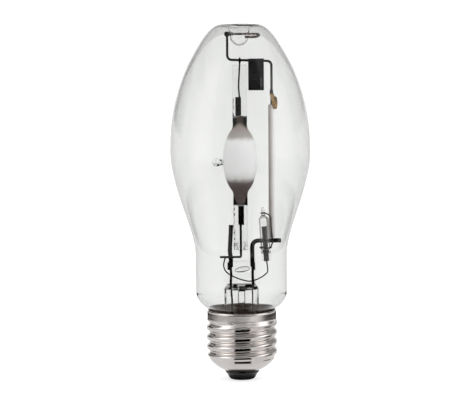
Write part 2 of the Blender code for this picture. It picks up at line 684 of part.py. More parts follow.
def make_ring_getter(steel, getter_brown):
    """A channel ring of getter on a tab that is clipped round the frame wire."""
    bore_r = FRAME_D / 2 + CLEARANCE
    low, high = TAB_TOP_Z - TAB_HEIGHT, TAB_TOP_Z
    x = frame_x(low)
    reach = bore_r + TAB_THICK
    clip = [(reach, high), (bore_r, high), (bore_r, high - CLIP_HEIGHT), (reach, high - CLIP_HEIGHT)]
    tab = lathe("getter_tab", clip, steel, 12)
    tab.location = (x, frame_y(), 0.0)
    tab.rotation_euler = (0.0, 0.0, GETTER_TURN)
    plate = bmesh.new()
    bmesh.ops.create_cube(plate, size=1.0)
    ahead = SLEEVE_D / 2 + CLEARANCE + GETTER_R
    inner_y = -bore_r
    outer_y = -(ahead + GETTER_BORE_R)
    bmesh.ops.scale(plate, vec=(TAB_THICK, inner_y - outer_y, high - low), verts=plate.verts)
    bmesh.ops.translate(plate, vec=(-TAB_SIDE, (inner_y + outer_y) / 2, (low + high) / 2), verts=plate.verts)
    arm = solid("tab_arm", plate, steel)
    arm.location = tab.location
    arm.rotation_euler = tab.rotation_euler
    combine(tab, arm, "UNION")
    depth, fill = GETTER_DEPTH, GETTER_DEPTH * 0.55
    outer_wall_r, inner_wall_r = GETTER_R - GETTER_WALL, GETTER_BORE_R + GETTER_WALL
    channel = [(GETTER_BORE_R, 0.0), (GETTER_R, 0.0), (GETTER_R, depth), (outer_wall_r, depth),
               (outer_wall_r, fill), (inner_wall_r, fill), (inner_wall_r, depth), (GETTER_BORE_R, depth)]
    getter = lathe("ring_getter", channel, getter_brown, 18)
    across = TAB_THICK / 2 + CLEARANCE - TAB_SIDE
    cos, sin = math.cos(GETTER_TURN), math.sin(GETTER_TURN)
    getter.location = (x + across * cos + ahead * sin, frame_y() + across * sin - ahead * cos, GETTER_Z)
    getter.rotation_euler = (0.0, math.pi / 2, GETTER_TURN)


def make_flag_getter(black_metal):
    """A strip folded over the frame's top run, its two leaves pressed together below the wire."""
    low_x, high_x = FLAG_X
    y = frame_y()
    top_z = frame_top_z((low_x + high_x) / 2)
    hug = FRAME_D / 2 + CLEARANCE * 1.4 + FLAG_THICK / 2
    leaf = CLEARANCE / 2 + FLAG_THICK / 2
    side = [Vector((y - leaf, FRAME_TOP_Z - FLAG_LENGTH)), Vector((y - leaf, top_z - FLAG_PINCH)),
            Vector((y - hug, top_z - FRAME_D / 2))]
    arc = []
    for i in range(7):
        turn = math.pi - math.pi * i / 6
        arc.append(Vector((y + hug * math.cos(turn), top_z + hug * math.sin(turn))))
    mirrored = [Vector((2 * y - p.x, p.y)) for p in side[::-1]]
    middle = side + arc + mirrored
    outline = offset(middle, FLAG_THICK / 2) + offset(middle, -FLAG_THICK / 2)[::-1]
    rings = [[(x, p.x, p.y) for p in outline] for x in (low_x, high_x)]
    return loft("strip_getter", rings, black_metal)


def make_arc_tube(quartz):
    """A barrel with a flat pinch at each end, round a bore that holds foils, leads and electrodes."""
    body = [ARC_END_TURN * (1 - 2 * i / 9) for i in range(10)]
    outer = []
    for end_z, side in ((UPPER_PINCH_END_Z, 1), (LOWER_PINCH_END_Z, -1)):
        neck_z = ARC_Z + side * ARC_HALF_HEIGHT * math.sin(ARC_END_TURN)
        half_w, half_d = PINCH_HALF_WIDTH, PINCH_HALF_DEPTH
        stretch = [
            section(half_w - PINCH_EDGE, half_d - PINCH_EDGE, end_z, 4, ARC_X),
            section(half_w, half_d, end_z - side * PINCH_EDGE, 5, ARC_X),
            section(half_w, half_d, neck_z + side * PINCH_ROOT, 5, ARC_X),
            section(half_w, half_d * 1.45, neck_z + side * PINCH_ROOT * 0.45, 3, ARC_X),
        ]
        outer.append(stretch)
    rings = list(outer[0])
    for t in body:
        across = ARC_R * math.cos(t)
        rings.append(section(across, across, ARC_Z + ARC_HALF_HEIGHT * math.sin(t), 2, ARC_X))
    rings += outer[1][::-1]
    rings += arc_bore(-1)
    inner_r, inner_h = ARC_R - ARC_WALL, ARC_HALF_HEIGHT - ARC_WALL * 1.3
    rod_r = ELECTRODE_D / 2 + CLEARANCE
    end_turn = math.acos(rod_r / inner_r)
    for i in range(8):
        t = end_turn * (2 * i / 7 - 1)
        across = inner_r * math.cos(t)
        rings.append(section(across, across, ARC_Z + inner_h * math.sin(t), 2, ARC_X))
    rings += arc_bore(1)[::-1]
    tube = loft("arc_tube", rings, quartz, through=True)
    combine(tube, exhaust_tip(quartz), "UNION")
    return tube


def arc_bore(side):
    """The bore through one pinch, from its open end in to the electrode."""
    if side > 0:
        end_z, lead_d, foil_x = UPPER_PINCH_END_Z, LEAD_D, UPPER_FOIL_X
        inner_foil_z, outer_foil_z = UPPER_FOIL_Z
    else:
        end_z, lead_d, foil_x = LOWER_PINCH_END_Z, LOWER_LEAD_D, LOWER_FOIL_X
        outer_foil_z, inner_foil_z = LOWER_FOIL_Z
    gap = side * CLEARANCE
    lead_r = lead_d / 2 + CLEARANCE
    rod_r = ELECTRODE_D / 2 + CLEARANCE
    slot_w = FOIL_WIDTH / 2 + CLEARANCE
    slot_d = FOIL_THICK / 2 + CLEARANCE
    return [
        section(lead_r, lead_r, end_z, 2, ARC_X),
        section(lead_r, lead_r, outer_foil_z + 2 * gap, 2, ARC_X),
        section(slot_w, slot_d, outer_foil_z + gap, 4, foil_x),
        section(slot_w, slot_d, inner_foil_z - gap, 4, foil_x),
        section(rod_r, rod_r, inner_foil_z - 2 * gap, 2, ARC_X),
    ]


def exhaust_tip(quartz):
    """The bead left on the arc tube's side where it was filled and melted shut."""
    root = ARC_R - ARC_WALL / 2
    bead_x = TIP_REACH - TIP_BEAD_R
    outline = [(0.0, root), (TIP_NECK_R, root), (TIP_NECK_R, bead_x - TIP_BEAD_R * 0.8)]
    for i in range(1, 6):
        a = -0.9 + (math.pi / 2 + 0.9) * i / 6
        outline.append((TIP_BEAD_R * math.cos(a), bead_x + TIP_BEAD_R * math.sin(a)))
    outline.append((0.0, TIP_REACH))
    tip = lathe("exhaust_tip", outline, quartz, 12)
    tip.location = (ARC_X, 0.0, TIP_Z)
    tip.rotation_euler = (0.0, -math.pi / 2, 0.0)
    return tip


def make_foil(name, low, high, width, x, material):
    """A foil with feathered edges."""
    half, flat, face = width / 2, width * 0.35, FOIL_THICK / 2
    edge = [(-half, 0.0), (-flat, -face), (flat, -face), (half, 0.0), (flat, face), (-flat, face)]
    rings = [[(x + across, y, z) for across, y in edge] for z in (low, high)]
    return loft(name, rings, material)


def make_arc_inside(foil_metal, tungsten):
    ends = (("upper", UPPER_FOIL_Z, UPPER_FOIL_X, -1), ("lower", LOWER_FOIL_Z, LOWER_FOIL_X, 1))
    for name, foil, foil_x, side in ends:
        make_foil(name + "_foil", foil[0], foil[1], FOIL_WIDTH, foil_x, foil_metal)
        start = (foil[0] if side < 0 else foil[1]) + side * CLEARANCE
        tip = start + side * ELECTRODE_REACH
        wire(name + "_electrode", [(ARC_X, 0, start), (ARC_X, 0, tip)], ELECTRODE_D, tungsten)
        coil_r = ELECTRODE_D / 2 + CLEARANCE + COIL_WIRE_D / 2
        pitch = COIL_WIRE_D + CLEARANCE
        helix = []
        for i in range(COIL_TURNS * 8 + 1):
            turn = 2 * math.pi * i / 8
            z = tip - side * (COIL_SETBACK + pitch * i / 8)
            helix.append((ARC_X + coil_r * math.cos(turn), coil_r * math.sin(turn), z))
        wire(name + "_electrode_coil", helix, COIL_WIRE_D, tungsten)


def make_arc_leads(lead_metal):
    """The upper lead is welded to the frame's top run, the lower one to the left post."""
    weld_y = frame_y() - FRAME_D / 2 - CLEARANCE - LEAD_D / 2
    top_z = frame_top_z(ARC_X)
    foil_gap = 1.5 * CLEARANCE
    weld_x = ARC_X - UPPER_FOIL_X / 2
    up = [(ARC_X, 0, UPPER_FOIL_Z[1] + foil_gap), (ARC_X, 0, UPPER_PINCH_END_Z + CLEARANCE),
          (weld_x, weld_y, top_z - LEAD_D), (weld_x, weld_y, top_z + FRAME_D)]
    wire("upper_lead", bent(up, LEAD_D, 3), LEAD_D, lead_metal)
    cross_y = crossbar_y()
    cross_z = LOWER_PINCH_END_Z - CROSSBAR_DROP
    down = [(ARC_X, 0, LOWER_FOIL_Z[0] - foil_gap), (ARC_X, 0, LOWER_PINCH_END_Z - LOWER_LEAD_D),
            (ARC_X - CROSSBAR_BEND, cross_y, cross_z), (CROSSBAR_END_X, cross_y, cross_z)]
    wire("lower_lead", bent(down, CROSSBAR_BEND), LOWER_LEAD_D, lead_metal)


def crossbar_y():
    return -(POST_D / 2 + CLEARANCE + LOWER_LEAD_D / 2)


def capsule_y():
    """The capsule stands in front of the hook."""
    return -(POST_D / 2 + CLEARANCE + CAPSULE_R)


def place_on_hook(thing):
    thing.location = (CAPSULE_X, capsule_y(), HOOK_Z)
    thing.rotation_euler = (0.0, CAPSULE_TILT, 0.0)


def make_capsule(quartz, foil_metal):
    """A quartz capsule, drawn to a nipple at the top and pinched over a foil at the foot."""
    foot = CAPSULE_FOOT
    rings = [[(0.0, 0.0, CAPSULE_TIP)]]
    rings += [section(NIPPLE_R * 0.6, NIPPLE_R * 0.6, CAPSULE_TIP - NIPPLE_TAPER)]
    rings += [section(NIPPLE_R, NIPPLE_R, CAPSULE_SHOULDER + NIPPLE_ROOT)]
    for i in range(4):
        a = math.radians(75 - 25 * i)
        rings.append(section(CAPSULE_R * math.cos(a), CAPSULE_R * math.cos(a),
                             CAPSULE_SHOULDER - CAPSULE_R * (1 - math.sin(a))))
    half_w, half_d = CAPSULE_PINCH_HALF_WIDTH, CAPSULE_PINCH_HALF_DEPTH
    pinch_z = foot - CAPSULE_PINCH_ROOT
    rings += [section(CAPSULE_R, CAPSULE_R, foot), section(half_w, half_d, pinch_z, 4),
              section(half_w, half_d, CAPSULE_PINCH_END, 4)]
    slot_w = CAPSULE_FOIL_WIDTH / 2 + CLEARANCE
    slot_d = FOIL_THICK / 2 + CLEARANCE
    bore_r = CAPSULE_R - CAPSULE_WALL
    rings += [section(slot_w, slot_d, CAPSULE_PINCH_END, 4), section(slot_w, slot_d, pinch_z, 4),
              section(bore_r, bore_r, foot + CAPSULE_WALL)]
    dome_z = CAPSULE_SHOULDER - CAPSULE_R
    rings += [section(bore_r, bore_r, dome_z), section(bore_r * 0.7, bore_r * 0.7, dome_z + bore_r * 0.7)]
    rings += [[(0.0, 0.0, dome_z + bore_r)]]
    place_on_hook(loft("enhancer_capsule", rings, quartz))
    low, high = CAPSULE_FOIL
    place_on_hook(make_foil("enhancer_foil", low, high, CAPSULE_FOIL_WIDTH, 0.0, foil_metal))


def on_capsule(height, reach=0.0, turn=0.0):
    """A point at a height on the capsule's own axis, or at a reach from it."""
    x = CAPSULE_X + height * math.sin(CAPSULE_TILT) + reach * math.cos(turn)
    return Vector((x, capsule_y() + reach * math.sin(turn), HOOK_Z + height * math.cos(CAPSULE_TILT)))


def make_holder(steel):
    """A thin wire looped round the capsule's nipple and its foot, and welded to the hook."""
    upper_r = NIPPLE_R + CLEARANCE + HOLDER_D / 2
    lower_r = CAPSULE_R + CLEARANCE + HOLDER_D / 2
    weld_y = -(POST_D / 2 + CLEARANCE + HOLDER_D / 2)
    nipple_z = CAPSULE_SHOULDER + NIPPLE_ROOT
    loop = [on_capsule(nipple_z, upper_r, math.radians(330 - 300 * i / 9)) for i in range(10)]
    leg = [(CAPSULE_X + HOLDER_LEG[0][0] * MM, weld_y * 2, HOOK_Z + HOLDER_LEG[0][1] * MM),
           (CAPSULE_X + HOLDER_LEG[1][0] * MM, weld_y * 1.4, HOOK_Z + HOLDER_LEG[1][1] * MM),
           (HOLDER_FOOT_X, weld_y, HOOK_Z + POST_D / 2), (HOLDER_FOOT_X, weld_y, HOOK_Z - POST_D / 2)]
    ring = [on_capsule(HOLDER_RING_Z, lower_r, math.radians(20 - 320 * i / 11)) for i in range(12)]
    path = loop[::-1] + smooth([loop[0], *leg, ring[0]], 3)[1:-1] + ring
    return wire("capsule_holder", path, HOLDER_D, steel)


def make_enhancer_lead(lead_metal):
    """Hangs from the capsule's foil in front of the stem and rises to the crossbar."""
    start = on_capsule(CAPSULE_FOIL[0] - CLEARANCE)
    end_y = crossbar_y() - LOWER_LEAD_D / 2 - CLEARANCE - ENHANCER_LEAD_D / 2
    places = [Vector(place) * MM for place in ENHANCER_LEAD_ROUTE]
    finish = Vector((places[-1].x + WIRE_BEND / 3, end_y, LOWER_PINCH_END_Z - CROSSBAR_DROP))
    points = [start, *places, finish]
    return wire("enhancer_lead", smooth(points, 2), ENHANCER_LEAD_D, lead_metal)


def make_lamp():
    clear_glass = surface("clear_glass", (0.93, 0.93, 0.92), 0.02, 0.0, 1.0)
    quartz = surface("quartz", (0.86, 0.86, 0.84), 0.05, 0.0, 0.9)
    stem_glass = surface("stem_glass", (0.88, 0.89, 0.86), 0.05, 0.0, 0.9)
    nickel = surface("nickel_plate", (0.72, 0.69, 0.65), 0.22, 1.0)
    black_glass = surface("black_glass", (0.01, 0.01, 0.01), 0.12)
    brass = surface("contact_brass", (0.72, 0.58, 0.32), 0.3, 1.0)
    cement = surface("cement", (0.16, 0.10, 0.08), 0.85)
    post_metal = surface("post_metal", (0.05, 0.05, 0.05), 0.4, 1.0)
    frame_steel = surface("frame_steel", (0.20, 0.18, 0.13), 0.35, 1.0)
    lead_metal = surface("lead_metal", (0.10, 0.07, 0.07), 0.45, 1.0)
    copper = surface("copper_lead", (0.35, 0.20, 0.12), 0.45, 1.0)
    foil_metal = surface("foil_metal", (0.08, 0.06, 0.05), 0.45, 1.0)
    tungsten = surface("tungsten", (0.25, 0.25, 0.25), 0.5, 1.0)
    flag_black = surface("flag_getter", (0.02, 0.02, 0.02), 0.25, 0.6)
    getter_brown = surface("ring_getter", (0.32, 0.20, 0.09), 0.4, 0.8)
    make_screw_shell(nickel)
    make_insulator(black_glass)
    make_contact(brass)
    make_cement(cement)
    make_bulb(clear_glass)
    make_stem(stem_glass)
    make_exhaust_tube(stem_glass)
    make_posts(post_metal)
    make_stem_leads(lead_metal, copper)
    make_frame(frame_steel)
    make_sleeve(quartz)
    make_ring_getter(frame_steel, getter_brown)
    make_flag_getter(flag_black)
    make_arc_tube(quartz)
    make_arc_inside(foil_metal, tungsten)
    make_arc_leads(lead_metal)
    make_capsule(quartz, foil_metal)
    make_holder(frame_steel)
    make_enhancer_lead(lead_metal)


clear_scene()
make_lamp()
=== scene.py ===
"""Looks of the metal halide lamp: glass, quartz, nickel thread and wires, with its studio and camera.

Metres, +Z up, in the frame of the solid model. The front, with the enhancer capsule, faces -Y.
"""

import math

import bmesh
import bpy
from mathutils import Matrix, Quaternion, Vector


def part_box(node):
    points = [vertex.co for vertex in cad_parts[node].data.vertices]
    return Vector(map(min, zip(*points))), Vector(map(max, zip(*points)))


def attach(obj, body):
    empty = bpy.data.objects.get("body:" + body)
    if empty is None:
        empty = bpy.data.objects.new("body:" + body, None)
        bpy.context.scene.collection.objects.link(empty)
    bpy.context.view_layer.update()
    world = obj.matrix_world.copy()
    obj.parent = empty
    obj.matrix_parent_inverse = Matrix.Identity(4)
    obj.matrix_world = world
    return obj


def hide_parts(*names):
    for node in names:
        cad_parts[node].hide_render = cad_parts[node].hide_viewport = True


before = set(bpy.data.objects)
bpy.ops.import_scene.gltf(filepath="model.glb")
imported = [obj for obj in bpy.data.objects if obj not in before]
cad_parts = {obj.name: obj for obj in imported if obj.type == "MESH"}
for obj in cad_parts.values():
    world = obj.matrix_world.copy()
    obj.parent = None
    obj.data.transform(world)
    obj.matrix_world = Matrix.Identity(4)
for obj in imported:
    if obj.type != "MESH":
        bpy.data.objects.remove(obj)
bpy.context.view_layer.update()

MM = 0.001
CLEARANCE = 0.3 * MM

# Image and camera
IMAGE_WIDTH = 475
FOCAL_PIXELS = 2224.55
CAMERA_DISTANCE = 0.833
CAMERA_PITCH = math.radians(6.0)
CAMERA_ROLL = math.radians(-0.521)
CAMERA_AIM_Z = 67.794 * MM
CAMERA_SHIFT_PIXELS = -3.25
SENSOR_WIDTH = 36.0


def low(node):
    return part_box(node)[0]


def high(node):
    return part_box(node)[1]


# Outer bulb
GLASS_WALL = 0.9 * MM
DRAWN_WALL = 0.5 * MM
BULGE_R = high("outer_bulb").x
BULB_TOP_Z = high("outer_bulb").z
SEAL_Z = low("outer_bulb").z
BULGE_Z = 86.6 * MM
SHOULDER_R = 17.3 * MM
SHOULDER_Z = BULB_TOP_Z - 11.1 * MM
MOUTH_R = 6.3 * MM
DIMPLE_R = 3.1 * MM
DIMPLE_Z = BULB_TOP_Z - 4.5 * MM
DIMPLE_DEPTH = 7.6 * MM
DIMPLE_LIP = 2.3 * MM
NECK_R = 17.15 * MM
NECK_TOP_Z = 47.0 * MM
NECK_FOOT_Z = 33.8 * MM
THROAT_R = 13.1 * MM
THROAT_LIFT = 0.85 * MM
THROAT_TURN = 4.4 * MM
SEAL_R = 9.9 * MM

# How far each curve of the bulb runs straight on from its ends, out and up
CROWN_RUN = (4.6 * MM, 0.0)
SHOULDER_RUN_UP = (-3.2 * MM, 5.4 * MM)
SHOULDER_RUN_DOWN = (6.1 * MM, -10.4 * MM)
BULGE_RUN_UP = 12.5 * MM
BULGE_RUN_DOWN = 14.5 * MM
NECK_RUN_UP = 10.5 * MM
NECK_RUN_DOWN = 3.6 * MM
FOOT_RUN = (1.1 * MM, 0.6 * MM)

# Screw shell, with the cement inside it
CREST_R = 13.22 * MM
ROOT_R = 12.13 * MM
PITCH = 3.629 * MM
CREST_Z = 14.32 * MM
CREST_FULLNESS = 2.0
SHELL_WALL = 0.35 * MM
SKIRT_R = 12.93 * MM
RIM_R = 12.5 * MM
RIM_Z = high("screw_shell").z
RIM_ROLL = 0.45 * MM
THREAD_TOP_Z = 23.4 * MM
THREAD_FOOT_Z = 8.0 * MM
THREAD_RUN_OUT = 1.9 * MM
# The grooves grow shallower below the skirt, each by the height of its own root
LAST_GROOVE_Z = 22.6 * MM
GROOVE_RUN_OUT = 1.0 * MM
FOOT_TOP_R = 12.2 * MM
FOOT_HOLE_R = 6.4 * MM
FOOT_HOLE_Z = 3.55 * MM
FOOT_STEPS = 20
CEMENT_BITE = 0.06 * MM
CEMENT_TOP_Z = RIM_Z - RIM_ROLL * 0.6

# Insulator and contact
INSULATOR_R = 6.45 * MM
INSULATOR_TIP_R = 4.0 * MM
INSULATOR_TIP_Z = low("cap_insulator").z
INSULATOR_SHOULDER_R = 5.0 * MM
INSULATOR_SHOULDER_Z = 1.3 * MM
INSULATOR_EDGE = 0.7 * MM
CUP_FLOOR = 2.4 * MM
CUP_WALL = 2.0 * MM
CONTACT_R = high("contact_plate").x
CONTACT_THICK = high("contact_plate").z
CONTACT_EDGE = 0.1 * MM

# Stem
PRESS_HALF_WIDTH = 5.25 * MM
PRESS_HALF_DEPTH = 2.3 * MM
PRESS_TOP_Z = high("stem_flare").z
PRESS_FOOT_Z = 36.6 * MM
STEM_TUBE_R = 6.45 * MM
STEM_TUBE_Z = 34.3 * MM
STEM_TUBE_ROWS = (0.0, 0.2 * MM, 0.6 * MM, 3 * MM, 6 * MM, 9 * MM)
STEM_WALL = 0.5 * MM
STEM_ROOF = 0.5 * MM
SEAL_JOINT_Z = STEM_TUBE_Z - CLEARANCE
FLARE_START_Z = 23.5 * MM
FLARE_RUN = 4.5 * MM
# A flat bubble in the press, which rises to the right by its share of the way
BUBBLE_CENTRE = (0.35 * MM, 0.0, 41.7 * MM)
BUBBLE_HALF = (2.8 * MM, 1.3 * MM, 1.1 * MM)
BUBBLE_RISE = 0.14
EXHAUST_R = 1.55 * MM
EXHAUST_WALL = 0.5 * MM
EXHAUST_TIP_Z = low("exhaust_tube").z
EXHAUST_TAPER = 4.0 * MM
# The sealed tip's outside and bore, as shares of the radius and of the taper
EXHAUST_TIP = ((1.0, 1.0), (0.93, 0.7), (0.7, 0.38), (0.5, 0.18), (0.3, 0.06), (0.0, 0.0))
EXHAUST_BORE_END = ((0.0, 0.75), (0.7, 0.85), (1.0, 1.1))

# Wires
POST_D = 1.25 * MM
POST_SKIN = 0.38 * MM
SEAL_LEAD_D = 0.75 * MM
OUTER_LEAD_D = 0.65 * MM
SHELL_LEAD_D = 0.5 * MM
FRAME_D = 0.8 * MM
FRAME_SKIN = 0.12 * MM
LEAD_D = 0.6 * MM
LEAD_SKIN = 0.1 * MM
LOWER_LEAD_D = 0.75 * MM
ENHANCER_LEAD_D = 0.5 * MM
HOLDER_D = 0.4 * MM
ELECTRODE_D = 0.6 * MM
COIL_WIRE_D = 0.35 * MM
COIL_TURNS = 4
LEFT_POST_X = -3.9 * MM
RIGHT_POST_X = 4.15 * MM
# Each seal lead: its side, its x, its wobble, and how far its bead is moved along X
SEAL_LEADS = (("left", LEFT_POST_X, 0.12 * MM, -0.25 * MM), ("right", RIGHT_POST_X, -0.08 * MM, 0.25 * MM))
POST_SOCKET = 2.0 * MM
POST_BEND = 4.0 * MM
LEFT_POST_TOP_Z = high("left_post").z
LEFT_POST_LEAN = 0.35 * MM
LEFT_POST_KNEE = 4.2 * MM
CONTACT_LEAD_X = -3.6 * MM
SHELL_LEAD_TURN = math.radians(30)
HOOK_Z = high("right_post").z - POST_D / 2
HOOK_END_X = high("right_post").x
HOOK_BEND = 2.6 * MM
WIRE_BEND = 2.0 * MM
CROSSBAR_DROP = 2.5 * MM
CROSSBAR_BEND = 1.1 * MM
FRAME_X = 11.6 * MM
FRAME_TOP_X = 11.9 * MM
FRAME_TOP_Z = 119.6 * MM
FRAME_RISE = 0.6 * MM
FRAME_BEND = 1.9 * MM
FRAME_FOOT_Z = HOOK_Z - POST_D / 2
RING_R = 6.0 * MM
RING_Z = 129.7 * MM
RING_DROP = 0.9 * MM
RING_SWEEP = math.radians(250)
RING_STEPS = 72

# Arc tube
ARC_X = -0.1 * MM
ARC_Z = 82.8 * MM
ARC_R = 6.4 * MM
ARC_HALF_HEIGHT = 13.0 * MM
ARC_WALL = 1.1 * MM
ARC_END_TURN = math.radians(62)
PINCH_HALF_WIDTH = 2.7 * MM
PINCH_HALF_DEPTH = 1.35 * MM
PINCH_ROOT = 4.0 * MM
UPPER_PINCH_END_Z = high("arc_tube").z
LOWER_PINCH_END_Z = low("arc_tube").z
FOIL_WIDTH = 2.1 * MM
FOIL_THICK = 0.06 * MM
TIP_BEAD_R = 1.6 * MM
TIP_BEAD_START = -0.67
TIP_NECK_R = 1.0 * MM
TIP_REACH = 10.3 * MM
TIP_Z = 82.0 * MM

# Getters and sleeve
FLAG_THICK = 0.25 * MM
FLAG_PINCH = 2.0 * MM
FLAG_EDGE = 0.06 * MM
# The flag's crease: from its right edge to where it ends and starts, its height, and how deep it is
CREASE_END = 0.75 * MM
CREASE_START = 1.4 * MM
CREASE_HEIGHT = 5.4 * MM
CREASE_DEPTH = 0.42 * MM
GETTER_R = 2.4 * MM
GETTER_BORE_R = 1.3 * MM
GETTER_DEPTH = 0.9 * MM
GETTER_WALL = 0.2 * MM
GETTER_EDGE = 0.1 * MM
GETTER_Z = 104.3 * MM
GETTER_TURN = math.radians(14)
TAB_THICK = 0.25 * MM
TAB_SIDE = 0.45 * MM
TAB_DROP = 0.6 * MM
TAB_FOOT_Z = low("getter_tab").z - TAB_DROP
TAB_TOP_Z = high("getter_tab").z - TAB_DROP
CLIP_LIFT = 1.3 * MM
CLIP_HEIGHT = 2.0 * MM
SLEEVE_D = 2.45 * MM
# How far in front of the frame wire the ring getter's centre stands
GETTER_AHEAD = SLEEVE_D / 2 + CLEARANCE + GETTER_R

# Enhancer capsule
CAPSULE_X = 8.97 * MM
CAPSULE_TILT = math.radians(-3.5)
CAPSULE_R = 1.85 * MM
CAPSULE_WALL = 0.5 * MM
CAPSULE_TIP = 12.9 * MM
CAPSULE_SHOULDER = 9.8 * MM
CAPSULE_FOOT = -3.4 * MM
CAPSULE_PINCH_END = -7.2 * MM
CAPSULE_PINCH_HALF_WIDTH = 1.7 * MM
CAPSULE_PINCH_HALF_DEPTH = 0.8 * MM
CAPSULE_PINCH_ROOT = 1.2 * MM
NIPPLE_R = 0.55 * MM
NIPPLE_ROOT = 0.9 * MM
CAPSULE_FOIL_WIDTH = 1.9 * MM
CAPSULE_FOIL = (-7.5 * MM, 5.7 * MM)
HOLDER_LEG = ((1.93 * MM, 9.3 * MM), (2.33 * MM, 5.0 * MM))
HOLDER_SLACK = 0.1 * MM
HOLDER_FOOT_X = 11.7 * MM
HOLDER_RING_Z = -2.3 * MM
ENHANCER_LEAD_ROUTE = (  # in millimetres
    (9.85, -2.8, 41.7), (9.2, -2.9, 40.3), (6.8, -3.2, 38.7), (3.4, -3.5, 37.6), (0.1, -3.5, 38.2),
    (-3.2, -3.3, 39.5), (-5.7, -2.9, 41.2), (-6.6, -2.6, 43.6),
)

# Facets
BULB_SEGMENTS = 192
SHELL_SEGMENTS = 224
ROWS_PER_PITCH = 20
LATHE_SEGMENTS = 96
SECTION_POINTS = 64
WIRE_ROUNDNESS = 5
SHARP_ANGLE = math.radians(40)

# Indices of the glasses, set low because the photo shows faint edges. Melted quartz has its true one.
BULB_INDEX = 1.33
STEM_INDEX = 1.26
QUARTZ_INDEX = 1.4
MELTED_INDEX = 1.46

# Tones of the glass and quartz, and the dark reflections and shade painted on them
BULB_TINT = (0.80, 0.805, 0.797)
WHITE = (1.0, 1.0, 1.0)
# Black for painted shade and painted dark reflections
SHADE_BLACK = (0.001, 0.001, 0.001)
# Painted dark reflection on the dimple's lip: its reaches from the axis, and how far below the top it starts
LIP_DARK_REFLECTION = (4.9 * MM, 7.6 * MM)
LIP_DARK_REFLECTION_DEPTH = 0.8 * MM
# Painted dark reflections on the front of the press's foot, where its glass throws back the dark posts and
# cement, in millimetres: x, z, half width, half height
DARK_REFLECTION_MARKS = (
    (-2.4, 35.6, 0.9, 0.6), (2.6, 35.7, 1.4, 0.5), (0.2, 34.5, 1.2, 0.4), (5.3, 35.0, 0.8, 0.4),
    (-6.15, 33.8, 0.4, 0.9),
)
# The arc tube's coats, and its tone by height between their outer ends
LOWER_COAT_Z = (66.1 * MM, 76.0 * MM)
UPPER_COAT_Z = (90.7 * MM, 98.9 * MM)
LOWER_NECK_Z = 66.2 * MM
UPPER_NECK_Z = 96.2 * MM
MILK = (0.9, 0.9, 0.905)
COAT_TONES = (
    (LOWER_COAT_Z[1] - 1.6 * MM, (0.11, 0.086, 0.084)), (LOWER_COAT_Z[1] - 0.4 * MM, (0.42, 0.40, 0.395)),
    (LOWER_COAT_Z[1] + 0.4 * MM, (0.70, 0.69, 0.685)), (LOWER_COAT_Z[1] + 3 * MM, MILK),
    (UPPER_COAT_Z[0] - 0.6 * MM, MILK), (UPPER_COAT_Z[0] + 1.2 * MM, (0.44, 0.41, 0.39)),
    (UPPER_COAT_Z[0] + 3.6 * MM, (0.36, 0.315, 0.29)), (UPPER_NECK_Z, (0.30, 0.26, 0.235)),
)
# How the dark necks' edge bows at the flanks: metres of height for each square metre of reach
UPPER_ARCH = 250.0
LOWER_ARCH = 500.0
# Painted shade across the sleeve, from its side towards the arc to its far side
SLEEVE_SHADE_TONES = (
    (0.0, (0.24, 0.22, 0.205)), (0.12, (0.36, 0.335, 0.315)), (0.3, (0.47, 0.415, 0.39)),
    (0.55, (0.70, 0.655, 0.635)), (0.8, (0.90, 0.89, 0.885)), (1.0, (0.93, 0.93, 0.93)),
)

# Metals: their dark and light patches, how rough, patches to the metre, and how they shine.
# The bare ones are metallic. The others are dark with oxide, most of them matt.
BARE = {"Metallic": 1.0}
MATT = {"Specular IOR Level": 0.05}
METALS = {
    "contact_brass": ((0.55, 0.42, 0.2), (0.75, 0.62, 0.36), (0.25, 0.4), 500.0, BARE),
    "post_metal": ((0.0005, 0.0005, 0.0005), (0.003, 0.003, 0.003), (0.35, 0.5), 500.0,
                   {"Specular IOR Level": 0.02}),
    "frame_steel": ((0.006, 0.005, 0.002), (0.055, 0.048, 0.027), (0.25, 0.42), 300.0, BARE),
    "lead_metal": ((0.003, 0.002, 0.002), (0.016, 0.013, 0.012), (0.35, 0.5), 600.0, MATT),
    "copper_lead": ((0.004, 0.002, 0.002), (0.02, 0.012, 0.009), (0.35, 0.5), 400.0, MATT),
    "foil_metal": ((0.001, 0.0008, 0.0006), (0.007, 0.005, 0.004), (0.4, 0.6), 700.0, MATT),
    "bright_foil": ((0.03, 0.027, 0.025), (0.11, 0.102, 0.094), (0.4, 0.6), 700.0,
                    {"Specular IOR Level": 0.15}),
    "tungsten": ((0.18, 0.18, 0.18), (0.32, 0.32, 0.31), (0.4, 0.6), 900.0, BARE),
    "flag_getter": ((0.001, 0.001, 0.001), (0.004, 0.004, 0.005), (0.12, 0.24), 260.0,
                    {"Specular IOR Level": 1.0}),
    "ring_getter": ((0.02, 0.007, 0.001), (0.95, 0.52, 0.12), (0.3, 0.45), 1100.0, BARE),
}
PIT_DEPTH = 0.004 * MM
# Slots for the looks that have a name of their own
SLOTS = {
    "tip_quartz": "quartz",
    "sleeve_quartz": "quartz",
    "arc_quartz": "quartz",
    "bright_foil": "foil_metal",
}

# Studio
BACKDROP_LEVEL = 1.03
PLAIN_LEVEL = (1.25, 1.75)
STUDIO_LEVEL = 0.3
ALL_ROUND = (-4.0, 4.0)
